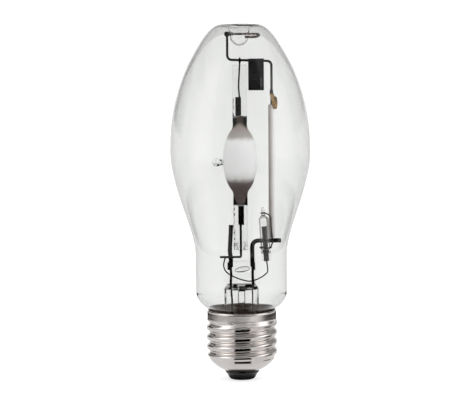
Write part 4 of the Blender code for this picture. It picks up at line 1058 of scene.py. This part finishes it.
def make_cement():
    """Fills the cap round the bulb's neck."""
    glass_side = offset(throat_outline(), CEMENT_BITE)
    thread_r, skirt_r = ROOT_R - SHELL_WALL - CLEARANCE, SKIRT_R - SHELL_WALL - CLEARANCE
    foot_z = low("basing_cement").z
    outline = [(radius_at(glass_side, CEMENT_TOP_Z), CEMENT_TOP_Z)]
    outline += [point for point in glass_side[:-1] if point.y < CEMENT_TOP_Z]
    outline += [(SEAL_R - CEMENT_BITE, foot_z), (thread_r, foot_z), (thread_r, THREAD_TOP_Z - THREAD_RUN_OUT),
                (skirt_r, THREAD_TOP_Z + CLEARANCE), (skirt_r, CEMENT_TOP_Z)]
    fit(lathe("neck_cement", outline, BULB_SEGMENTS), "cement", "basing_cement")


def make_stem():
    """Press, tube and flare in one piece of glass, melted round two leads."""
    outer = flare_outline()
    half_w, half_d = PRESS_HALF_WIDTH, PRESS_HALF_DEPTH
    keys = [
        (PRESS_TOP_Z, half_w - 0.9 * MM, half_d - 0.9 * MM, 4.0),
        (PRESS_TOP_Z - 0.15 * MM, half_w - 0.45 * MM, half_d - 0.45 * MM, 4.4),
        (PRESS_TOP_Z - 0.5 * MM, half_w - 0.1 * MM, half_d - 0.1 * MM, 5.0),
        (PRESS_TOP_Z - 1.0 * MM, half_w, half_d, 5.0),
        (PRESS_FOOT_Z, half_w, half_d, 5.0),
        (PRESS_FOOT_Z - 0.7 * MM, half_w + 0.15 * MM, half_d + 0.3 * MM, 4.0),
        (STEM_TUBE_Z + 0.7 * MM, STEM_TUBE_R - 0.4 * MM, STEM_TUBE_R - 0.8 * MM, 2.3),
        (STEM_TUBE_Z, STEM_TUBE_R, STEM_TUBE_R, 2.0),
    ]
    roof = arc((0.0, STEM_TUBE_Z), (STEM_TUBE_R - STEM_WALL, STEM_ROOF), 0.0, math.pi / 2, 8)
    outline = outer[1:] + offset(outer, STEM_WALL)[::-1] + roof[1:-1]
    rings = blended_sections(keys, 6) + [section(r, r, z) for r, z in outline]
    rings.append([(0.0, 0.0, STEM_TUBE_Z + STEM_ROOF)])
    stem = loft("stem_press", rings)
    bubble = bmesh.new()
    bmesh.ops.create_uvsphere(bubble, u_segments=48, v_segments=24, radius=1.0)
    for vert in bubble.verts:
        x, y, z = (p * half for p, half in zip(vert.co, BUBBLE_HALF))
        vert.co = Vector((x, y, z + BUBBLE_RISE * x)) + Vector(BUBBLE_CENTRE)
    join(stem, solid("press_bubble", bubble))
    fit(stem, "stem_glass", "stem_flare")


def make_exhaust_tube():
    top_z = STEM_TUBE_Z + STEM_ROOF - CLEARANCE
    bore_r = EXHAUST_R - EXHAUST_WALL
    outside = [(EXHAUST_R * out, EXHAUST_TIP_Z + EXHAUST_TAPER * up) for out, up in EXHAUST_TIP]
    bore = [(bore_r * out, EXHAUST_TIP_Z + EXHAUST_TAPER * up) for out, up in EXHAUST_BORE_END]
    fit(lathe("pump_tube", bore + [(bore_r, top_z), (EXHAUST_R, top_z)] + outside, 48), "stem_glass",
        "exhaust_tube")


def make_posts():
    foot_z = PRESS_TOP_Z - POST_SOCKET
    left = [(LEFT_POST_X, 0, foot_z), (LEFT_POST_X, 0, PRESS_TOP_Z + CLEARANCE),
            (LEFT_POST_X - LEFT_POST_LEAN, 0, PRESS_TOP_Z + LEFT_POST_KNEE),
            (LEFT_POST_X + LEFT_POST_LEAN / 2, 0, LEFT_POST_TOP_Z)]
    fit(wire("post_left", bent(left, POST_BEND), POST_D + POST_SKIN), "post_metal", "left_post")
    right = [(RIGHT_POST_X, 0, foot_z), (RIGHT_POST_X, 0, HOOK_Z), (HOOK_END_X, 0, HOOK_Z)]
    fit(wire("post_hook", bent(right, HOOK_BEND, 24), POST_D + POST_SKIN), "post_metal", "right_post")


def make_seal_leads():
    top_z = PRESS_TOP_Z - POST_SOCKET
    for side, x, wobble, out in SEAL_LEADS:
        path = smooth([(x, 0, top_z), (x + wobble, 0, top_z - 3 * MM), (x, 0, top_z - 6 * MM),
                       (x, 0, SEAL_JOINT_Z)])
        fit(wire("seal_lead_" + side, path, SEAL_LEAD_D + LEAD_SKIN), "lead_metal", side + "_seal_lead")
        make_bead("post_bead_" + side, (x + out, 0, top_z - 0.5 * MM), (0.75, 0.7, 0.8), "lead_metal")


def make_contact_lead():
    """Runs down beside the exhaust tube and in to the contact."""
    down = [(LEFT_POST_X, 0, SEAL_JOINT_Z), (CONTACT_LEAD_X, 0, SEAL_JOINT_Z - EXHAUST_TAPER),
            (CONTACT_LEAD_X, 0, EXHAUST_TIP_Z), (0, 0, CUP_FLOOR + EXHAUST_TAPER),
            (0, 0, CONTACT_THICK + CLEARANCE)]
    fit(wire("lead_to_contact", bent(down, WIRE_BEND), OUTER_LEAD_D + LEAD_SKIN), "copper_lead",
        "contact_lead")


def make_shell_lead():
    """Runs down the stem tube, out under the cement and up to the shell."""
    reach = ROOT_R - SHELL_WALL - CLEARANCE - SHELL_LEAD_D / 2
    end = (reach * math.cos(SHELL_LEAD_TURN), reach * math.sin(SHELL_LEAD_TURN))
    under_z = low("basing_cement").z - CLEARANCE - SHELL_LEAD_D
    across = [(RIGHT_POST_X, 0, SEAL_JOINT_Z), (RIGHT_POST_X, 0, under_z), (*end, under_z),
              (*end, THREAD_TOP_Z)]
    fit(wire("lead_to_shell", bent(across, WIRE_BEND / 2), SHELL_LEAD_D), "copper_lead", "shell_lead")


def make_frame():
    """One wire from the hook up to a loose ring round the bulb's dimple."""
    y, centre_x = frame_y(), ring_centre_x()
    first = math.pi - math.asin(y / RING_R)
    left_x = centre_x + RING_R * math.cos(first)
    ring = []
    for i in range(1, RING_STEPS + 1):
        turn = first - RING_SWEEP * i / RING_STEPS
        drop = RING_DROP * ease((0.5 - turn) / 1.2)
        ring.append(Vector((centre_x + RING_R * math.cos(turn), RING_R * math.sin(turn), RING_Z - drop)))
    corners = [(FRAME_X, y, FRAME_FOOT_Z), (FRAME_TOP_X, y, FRAME_TOP_Z), (left_x, y, frame_top_z(left_x)),
               (left_x, y, RING_Z), ring[0]]
    path = bent(corners, FRAME_BEND, 16) + ring[1:]
    fit(wire("frame_loop", path, FRAME_D + FRAME_SKIN), "frame_steel", "frame_wire")
    for name, turn, size in (("ring_knot", first + 0.06, 1.15), ("ring_lap", first - 0.45, 0.85)):
        spot = (centre_x + RING_R * math.cos(turn), RING_R * math.sin(turn), RING_Z + 0.1 * MM)
        make_bead(name, spot, (0.9 * size, 0.6 * size, 0.9 * size))


def make_sleeve():
    """A quartz tube slipped over the frame wire, with fire-polished ends."""
    foot_z = HOOK_Z + POST_D / 2 + CLEARANCE
    bore_r = FRAME_D / 2 + CLEARANCE
    lean = (FRAME_TOP_X - FRAME_X) / (FRAME_TOP_Z - FRAME_FOOT_Z)
    length = high("frame_sleeve").z - foot_z
    half = (SLEEVE_D / 2 - bore_r) / 2
    outline = arc((bore_r + half, length - half), (half, half), 0.0, math.pi, 8)
    outline += arc((bore_r + half, half), (half, half), math.pi, 2 * math.pi, 8)
    sleeve = lathe("sleeve_tube", outline, 64)
    sleeve.location = (frame_x(foot_z), frame_y(), foot_z)
    sleeve.rotation_euler = (0.0, math.atan(lean), 0.0)
    fit(sleeve, "sleeve_quartz", "frame_sleeve")


def make_getter_tab():
    """A collar clipped round the frame wire, and the arm on it that carries the ring getter."""
    x, y = frame_x(TAB_FOOT_Z), frame_y()
    wire_r = FRAME_D / 2
    clip_r, clip_z = wire_r + TAB_THICK, TAB_TOP_Z + CLIP_LIFT
    clip_foot_z = clip_z - CLIP_HEIGHT
    clip = [(clip_r, clip_z), (wire_r, clip_z), (wire_r, clip_foot_z), (clip_r, clip_foot_z)]
    collar = lathe("tab_collar", clip, 48)
    collar.location = (x, y, 0.0)
    fit(collar, "post_metal", "getter_tab", slot="frame_steel")
    plate = bmesh.new()
    bmesh.ops.create_cube(plate, size=1.0)
    inner_y, outer_y = -wire_r * 0.6, -(GETTER_AHEAD + GETTER_BORE_R)
    size = (TAB_THICK, inner_y - outer_y, TAB_TOP_Z - TAB_FOOT_Z)
    centre = (-TAB_SIDE, (inner_y + outer_y) / 2, (TAB_FOOT_Z + TAB_TOP_Z) / 2)
    bmesh.ops.scale(plate, vec=size, verts=plate.verts)
    bmesh.ops.translate(plate, vec=centre, verts=plate.verts)
    bmesh.ops.bevel(plate, geom=plate.edges[:], offset=TAB_THICK * 0.3, segments=3, affect="EDGES")
    arm = solid("tab_arm", plate)
    arm.location = (x, y, 0.0)
    arm.rotation_euler = (0.0, 0.0, GETTER_TURN)
    fit(arm, "ring_getter")


def make_ring_getter():
    """A channel ring, filled with getter, on the end of the tab's arm."""
    depth, fill = GETTER_DEPTH, GETTER_DEPTH * 0.55
    outer_r, inner_r = GETTER_R - GETTER_WALL, GETTER_BORE_R + GETTER_WALL
    channel = [(GETTER_BORE_R, GETTER_EDGE), (GETTER_BORE_R + GETTER_EDGE, 0.0),
               (GETTER_R - GETTER_EDGE, 0.0), (GETTER_R, GETTER_EDGE), (GETTER_R, depth),
               (outer_r, depth), (outer_r, fill),
               ((outer_r + inner_r) / 2, fill + 0.12 * MM), (inner_r, fill), (inner_r, depth),
               (GETTER_BORE_R, depth)]
    getter = lathe("getter_channel", channel, 72)
    across = TAB_THICK / 2 - TAB_SIDE
    cos, sin = math.cos(GETTER_TURN), math.sin(GETTER_TURN)
    getter.location = (frame_x(TAB_FOOT_Z) + across * cos + GETTER_AHEAD * sin,
                       frame_y() + across * sin - GETTER_AHEAD * cos, GETTER_Z)
    getter.rotation_euler = (0.0, math.pi / 2, GETTER_TURN)
    fit(getter, "ring_getter", "ring_getter")


def make_flag_getter():
    """A strip folded over the frame's top run, its two leaves pressed together below the wire."""
    low_x, high_x, foot_z = low("strip_getter").x, high("strip_getter").x, low("strip_getter").z
    y, top_z = frame_y(), frame_top_z((low_x + high_x) / 2)
    half = FLAG_THICK / 2
    hug = FRAME_D / 2 + half + CLEARANCE * 0.4
    pinch_z = top_z - FLAG_PINCH
    side = [Vector((y - half, foot_z + (pinch_z - foot_z) * i / 24)) for i in range(24)]
    side += bezier((y - half, pinch_z), (y - half, top_z - FLAG_PINCH * 0.6),
                   (y - hug, top_z - FLAG_PINCH * 0.5), (y - hug, top_z - FRAME_D / 4), 8)
    far_side = [Vector((2 * y - p.x, p.y)) for p in side[::-1]]
    middle = side + arc((y, top_z), (hug, hug), math.pi, 0.0, 24) + far_side
    across = [low_x, low_x + FLAG_EDGE * 0.3, low_x + FLAG_EDGE]
    across += [low_x + (high_x - low_x) * i / 32 for i in range(1, 32)]
    across += [high_x - FLAG_EDGE, high_x - FLAG_EDGE * 0.3, high_x]
    rings = []
    for x in across:
        thick = half * min(0.5 + 0.5 * min(x - low_x, high_x - x) / FLAG_EDGE, 1.0)
        fold = 1.0 - ease((x - high_x + CREASE_START) / (CREASE_START - CREASE_END))
        ring = []
        for p in offset(middle, thick) + offset(middle, -thick)[::-1]:
            share = ease((p.y - foot_z - 0.3 * MM) / MM) * ease((foot_z + CREASE_HEIGHT - p.y) / MM)
            ring.append((x, p.x - CREASE_DEPTH * fold * share, p.y))
        rings.append(ring)
    fit(loft("getter_flag", rings), "flag_getter", "strip_getter")


def make_arc_tube():
    """A barrel with a flat pinch at each end."""
    neck = ARC_HALF_HEIGHT * math.sin(ARC_END_TURN)
    neck_r = ARC_R * math.cos(ARC_END_TURN)
    half_w, half_d = PINCH_HALF_WIDTH, PINCH_HALF_DEPTH
    ends = []
    for end_z, side in ((UPPER_PINCH_END_Z, 1), (LOWER_PINCH_END_Z, -1)):
        neck_z = ARC_Z + side * neck
        ends.append(blended_sections([
            (end_z, half_w - 0.5 * MM, half_d - 0.5 * MM, 3.0),
            (end_z - side * 0.12 * MM, half_w - 0.2 * MM, half_d - 0.2 * MM, 3.4),
            (end_z - side * 0.5 * MM, half_w, half_d, 4.0),
            (neck_z + side * (PINCH_ROOT + 1 * MM), half_w, half_d, 4.0),
            (neck_z + side * PINCH_ROOT * 0.45, half_w * 0.98, half_d * 1.45, 2.8),
            (neck_z + side * 0.2 * MM, neck_r * 0.99, neck_r * 0.99, 2.0),
        ], 8, ARC_X))
    barrel = arc((0.0, ARC_Z), (ARC_R, ARC_HALF_HEIGHT), ARC_END_TURN, -ARC_END_TURN, 40)[1:-1]
    rings = ends[0] + [section(r, r, z, 2.0, ARC_X) for r, z in barrel] + ends[1][::-1]
    fit(loft("burner", rings), "arc_quartz", "arc_tube")


def make_tip():
    """The bead where the arc tube was filled and melted shut."""
    root = ARC_R - ARC_WALL
    bead_x = TIP_REACH - TIP_BEAD_R
    outline = [(0.0, root)]
    outline += bezier((TIP_NECK_R * 1.5, root), (TIP_NECK_R * 0.95, root + 1.2 * MM),
                      (TIP_NECK_R * 0.95, bead_x - TIP_BEAD_R * 1.1),
                      (TIP_BEAD_R * 0.78, bead_x - TIP_BEAD_R * 0.62), 10)
    outline += arc((0.0, bead_x), (TIP_BEAD_R, TIP_BEAD_R), TIP_BEAD_START, math.pi / 2, 17)[:-1]
    tip = lathe("burner_tip", outline + [(0.0, TIP_REACH)], 64)
    tip.location = (ARC_X, 0.0, TIP_Z)
    tip.rotation_euler = (0.0, -math.pi / 2, 0.0)
    fit(tip, "tip_quartz")


def foil(name, foot, top, width, x):
    """A foil with feathered edges and a faint ripple along it."""
    half, flat, face = width / 2, width * 0.35, FOIL_THICK / 2
    edge = [(-half, 0.0), (-flat, -face), (flat, -face), (half, 0.0), (flat, face), (-flat, face)]
    rings = []
    for i in range(25):
        sway = 0.03 * MM * math.sin(i * 1.7)
        rings.append([(x + across, y + sway, foot + (top - foot) * i / 24) for across, y in edge])
    return loft(name, rings)


def make_arc_inside():
    """In each end of the arc tube a foil, and an electrode with its coil."""
    for end in ("upper", "lower"):
        lowest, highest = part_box(end + "_foil")
        strip = foil("foil_" + end, lowest.z, highest.z, FOIL_WIDTH, (lowest.x + highest.x) / 2)
        fit(strip, "foil_metal", end + "_foil")
        lowest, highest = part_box(end + "_electrode")
        rod = wire("rod_" + end, [(ARC_X, 0, lowest.z), (ARC_X, 0, highest.z)], 2 * (highest.x - ARC_X))
        fit(rod, "tungsten", end + "_electrode")
        lowest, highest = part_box(end + "_electrode_coil")
        coil_r = (ELECTRODE_D + COIL_WIRE_D) / 2
        rise = highest.z - lowest.z - COIL_WIRE_D
        helix = []
        for i in range(COIL_TURNS * 20 + 1):
            turn = 2 * math.pi * i / 20
            z = lowest.z + COIL_WIRE_D / 2 + rise * i / (COIL_TURNS * 20)
            helix.append((ARC_X + coil_r * math.cos(turn), coil_r * math.sin(turn), z))
        fit(wire("coil_" + end, helix, COIL_WIRE_D), "tungsten", end + "_electrode_coil")


def make_upper_lead():
    """Rises from the upper foil and is hooked over the frame's top run."""
    wrap = (FRAME_D + LEAD_D) / 2
    turns = arc((frame_y(), frame_top_z(ARC_X)), (wrap, wrap), math.radians(200), math.radians(-90), 24)
    loop = [Vector((ARC_X + 0.35 * MM * i / 24, *spot)) for i, spot in enumerate(turns)]
    foil_top = high("upper_foil").z
    rise = smooth([(ARC_X + 0.05 * MM, 0, foil_top - 1 * MM), (ARC_X - 0.3 * MM, 0, foil_top + 3.5 * MM),
                   (ARC_X - 0.1 * MM, 0, UPPER_PINCH_END_Z - 3.5 * MM),
                   (ARC_X + 0.12 * MM, 0, UPPER_PINCH_END_Z), loop[0]])
    fit(wire("lead_upper", rise[:-1] + loop, LEAD_D), "lead_metal", "upper_lead")


def make_lower_lead():
    """Drops from the lower foil and turns aside as the crossbar, which is welded to the left post."""
    cross_y, cross_z = crossbar_y(), LOWER_PINCH_END_Z - CROSSBAR_DROP
    down = bent([(ARC_X, 0, low("lower_foil").z + 1 * MM), (ARC_X, 0, LOWER_PINCH_END_Z),
                 (ARC_X, cross_y, cross_z + CROSSBAR_BEND), (ARC_X, cross_y, cross_z),
                 (low("lower_lead").x, cross_y, cross_z)], CROSSBAR_BEND * 0.7)
    fit(wire("lead_lower", down, LOWER_LEAD_D + LEAD_SKIN), "lead_metal", "lower_lead")
    make_bead("crossbar_weld", (LEFT_POST_X, cross_y / 2, cross_z), (0.75, 0.55, 0.5))


def place_on_hook(thing):
    thing.location = (CAPSULE_X, capsule_y(), HOOK_Z)
    thing.rotation_euler = (0.0, CAPSULE_TILT, 0.0)
    return thing


def make_capsule():
    """A quartz capsule, drawn to a nipple at the top and pinched over a foil at the foot."""
    shoulder_z = CAPSULE_SHOULDER - CAPSULE_R
    keys = round_keys(
        (CAPSULE_TIP - 0.05 * MM, NIPPLE_R * 0.35), (CAPSULE_TIP - 0.35 * MM, NIPPLE_R * 0.85),
        (CAPSULE_TIP - 1.0 * MM, NIPPLE_R * 1.15), (CAPSULE_SHOULDER + NIPPLE_ROOT * 1.4, NIPPLE_R * 0.85),
        (CAPSULE_SHOULDER + NIPPLE_ROOT * 0.2, NIPPLE_R * 1.3),
        (CAPSULE_SHOULDER - 0.3 * MM, CAPSULE_R * 0.62), (shoulder_z + CAPSULE_R * 0.5, CAPSULE_R * 0.88),
        (shoulder_z, CAPSULE_R), (CAPSULE_FOOT, CAPSULE_R))
    half_w, half_d = CAPSULE_PINCH_HALF_WIDTH, CAPSULE_PINCH_HALF_DEPTH
    keys += [(CAPSULE_FOOT - CAPSULE_PINCH_ROOT, half_w, half_d, 3.4),
             (CAPSULE_PINCH_END + 0.3 * MM, half_w, half_d, 3.4),
             (CAPSULE_PINCH_END, half_w - 0.3 * MM, half_d - 0.25 * MM, 3.0)]
    body = loft("capsule_body", [[(0.0, 0.0, CAPSULE_TIP)]] + blended_sections(keys, 6))
    bore_r = CAPSULE_R - CAPSULE_WALL
    keys = round_keys((shoulder_z + bore_r * 0.92, bore_r * 0.38), (shoulder_z + bore_r * 0.6, bore_r * 0.8),
                      (shoulder_z, bore_r), (CAPSULE_FOOT + 1.2 * MM, bore_r))
    keys.append((CAPSULE_FOOT + 0.2 * MM, bore_r * 0.8, bore_r * 0.5, 2.0))
    join(body, loft("capsule_hollow", blended_sections(keys, 6)))
    fit(place_on_hook(body), "quartz", "enhancer_capsule")
    strip = foil("foil_capsule", *CAPSULE_FOIL, CAPSULE_FOIL_WIDTH, 0.0)
    fit(place_on_hook(strip), "bright_foil", "enhancer_foil")


def make_holder():
    """A thin wire looped round the capsule's nipple and its foot, and welded to the hook."""
    upper_r = NIPPLE_R + HOLDER_D / 2 + HOLDER_SLACK
    lower_r = CAPSULE_R + HOLDER_D / 2 + HOLDER_SLACK
    weld_y = -(POST_D / 2 + CLEARANCE + HOLDER_D / 2)
    loop = round_capsule(CAPSULE_SHOULDER + NIPPLE_ROOT, upper_r, 330, -300, 36)
    (upper_x, upper_z), (lower_x, lower_z) = HOLDER_LEG
    leg = [(CAPSULE_X + upper_x, weld_y * 2, HOOK_Z + upper_z),
           (CAPSULE_X + lower_x, weld_y * 1.4, HOOK_Z + lower_z),
           (HOLDER_FOOT_X, weld_y, HOOK_Z + POST_D / 2), (HOLDER_FOOT_X, weld_y, HOOK_Z - POST_D / 2)]
    ring = round_capsule(HOLDER_RING_Z, lower_r, 20, -320, 44)
    path = loop[::-1] + smooth([loop[0], *leg, ring[0]], 12)[1:-1] + ring
    fit(wire("holder_wire", path, HOLDER_D + LEAD_SKIN), "frame_steel", "capsule_holder")
    make_bead("holder_weld", (HOLDER_FOOT_X, -POST_D / 2 - 0.1 * MM, HOOK_Z), (0.5, 0.4, 0.45))
    make_bead("frame_weld", (FRAME_X, POST_D / 2 + 0.15 * MM, HOOK_Z), (0.6, 0.45, 0.5))


def make_enhancer_lead():
    """Hangs from the capsule's foil in front of the stem and rises to the crossbar."""
    start = on_capsule(CAPSULE_FOIL[0] + 0.5 * MM)
    end_y = crossbar_y() - LOWER_LEAD_D / 2 - ENHANCER_LEAD_D / 2
    spots = [Vector(spot) * MM for spot in ENHANCER_LEAD_ROUTE]
    finish = Vector((spots[-1].x + WIRE_BEND / 3, end_y, LOWER_PINCH_END_Z - CROSSBAR_DROP))
    path = smooth([start, *spots, finish], 10)
    fit(wire("lead_enhancer", path, ENHANCER_LEAD_D), "lead_metal", "enhancer_lead")


# Studio


def turn_from_front(tree, facing):
    """The angle round the lamp from the camera's side, with the right as plus."""
    return sums(tree, "ARCTAN2", facing[0], times(tree, facing[1], -1.0))


def paint(tree, level, patches, turn, reach):
    """Lays patches over a level, each between two turns and two reaches."""
    for turns, reaches, soft_turn, soft_reach, patch in patches:
        share = times(tree, window(tree, turn, *turns, soft_turn), window(tree, reach, *reaches, soft_reach))
        level = blend(tree, share, level, patch)
    return level


def once(tree, depth):
    """One for a ray that has bounced so at least once."""
    return sums(tree, "MINIMUM", depth, 1.0)


def make_world():
    """White to the camera and through glass. Reflections see a studio with soft boxes and dark gaps."""
    world = bpy.data.worlds.new("studio")
    bpy.context.scene.world = world
    world.use_nodes = True
    world.cycles.sampling_method = "NONE"
    tree = world.node_tree
    facing = axes(tree, add(tree, "TexCoord").outputs["Generated"])
    path = add(tree, "LightPath").outputs
    studio = paint(tree, STUDIO_LEVEL, STUDIO_PATCHES, turn_from_front(tree, facing), facing[2])
    plain = spread(tree, facing[2], -0.2, 0.9, *PLAIN_LEVEL)
    level = blend(tree, once(tree, path["Diffuse Depth"]), BACKDROP_LEVEL, plain)
    level = blend(tree, once(tree, path["Glossy Depth"]), level, studio)
    colour = add(tree, "CombineColor", {0: level, 1: level, 2: level}).outputs[0]
    wire_up(tree, tree.nodes["Background"], {"Color": colour})


def make_floor():
    """White paper that keeps the lamp's shadow, with the studio's patches for what mirrors it."""
    builder = bmesh.new()
    bmesh.ops.create_circle(builder, cap_ends=True, segments=96, radius=FLOOR_R)
    mesh = bpy.data.meshes.new("floor")
    builder.to_mesh(mesh)
    builder.free()
    tree, shader = blank("floor")
    path = add(tree, "LightPath").outputs
    reach = add(tree, "VectorMath", {0: place(tree)}, operation="LENGTH").outputs["Value"]
    studio = paint(tree, FLOOR_LEVEL, FLOOR_PATCHES, turn_from_front(tree, axes(tree)), reach)
    mirrored = add(tree, "Emission", {"Color": WHITE, "Strength": studio})
    paper = add(tree, "BsdfDiffuse", {"Color": PAPER})
    shaded = add(tree, "BsdfDiffuse", {"Color": SHADED})
    glow = add(tree, "Emission", {"Color": WHITE, "Strength": GLOW})
    seen = add(tree, "AddShader", {0: shaded.outputs[0], 1: glow.outputs[0]})
    either = add(tree, "MixShader", {0: once(tree, path["Diffuse Depth"]), 1: seen.outputs[0],
                                     2: paper.outputs[0]})
    mixed = add(tree, "MixShader", {0: once(tree, path["Glossy Depth"]), 1: either.outputs[0],
                                    2: mirrored.outputs[0]})
    tree.nodes.remove(shader)
    wire_up(tree, tree.nodes["Material Output"], {"Surface": mixed.outputs[0]})
    mesh.materials.append(LOOKS["floor"])
    show("floor", mesh)


def make_lamps():
    for name, location, power in LAMPS:
        light = bpy.data.lights.new(name, "AREA")
        light.shape = "RECTANGLE"
        light.size = light.size_y = LAMP_SIDE
        light.energy = power
        thing = show(name, light)
        thing.location = location
        thing.rotation_euler = (Vector(LAMP_AIM) - Vector(location)).to_track_quat("-Z", "Y").to_euler()
        thing.visible_glossy = thing.visible_transmission = thing.visible_camera = False


def make_camera():
    camera = bpy.data.cameras.new("camera")
    camera.sensor_width = SENSOR_WIDTH
    camera.lens = FOCAL_PIXELS * SENSOR_WIDTH / IMAGE_WIDTH
    camera.shift_x = CAMERA_SHIFT_PIXELS / IMAGE_WIDTH
    camera.clip_start = 0.05
    camera.clip_end = 100.0
    thing = show("camera", camera)
    back = Vector((0.0, -math.cos(CAMERA_PITCH), math.sin(CAMERA_PITCH)))
    thing.location = Vector((0.0, 0.0, CAMERA_AIM_Z)) + back * CAMERA_DISTANCE
    thing.rotation_mode = "QUATERNION"
    roll = Quaternion((0.0, 0.0, 1.0), CAMERA_ROLL)
    thing.rotation_quaternion = (-back).to_track_quat("-Z", "Y") @ roll
    bpy.context.scene.camera = thing


def make_scene():
    make_looks()
    make_bulb()
    make_shell()
    make_insulator()
    make_contact()
    make_cement()
    make_stem()
    make_exhaust_tube()
    make_posts()
    make_seal_leads()
    make_contact_lead()
    make_shell_lead()
    make_frame()
    make_sleeve()
    make_getter_tab()
    make_ring_getter()
    make_flag_getter()
    make_arc_tube()
    make_tip()
    make_arc_inside()
    make_upper_lead()
    make_lower_lead()
    make_capsule()
    make_holder()
    make_enhancer_lead()
    make_world()
    make_floor()
    make_lamps()
    make_camera()
    scene = bpy.context.scene
    scene.cycles.max_bounces = 32
    scene.cycles.transmission_bounces = 28
    scene.cycles.glossy_bounces = 12
    scene.cycles.transparent_max_bounces = 16
    scene.view_settings.view_transform = "Standard"


make_scene()
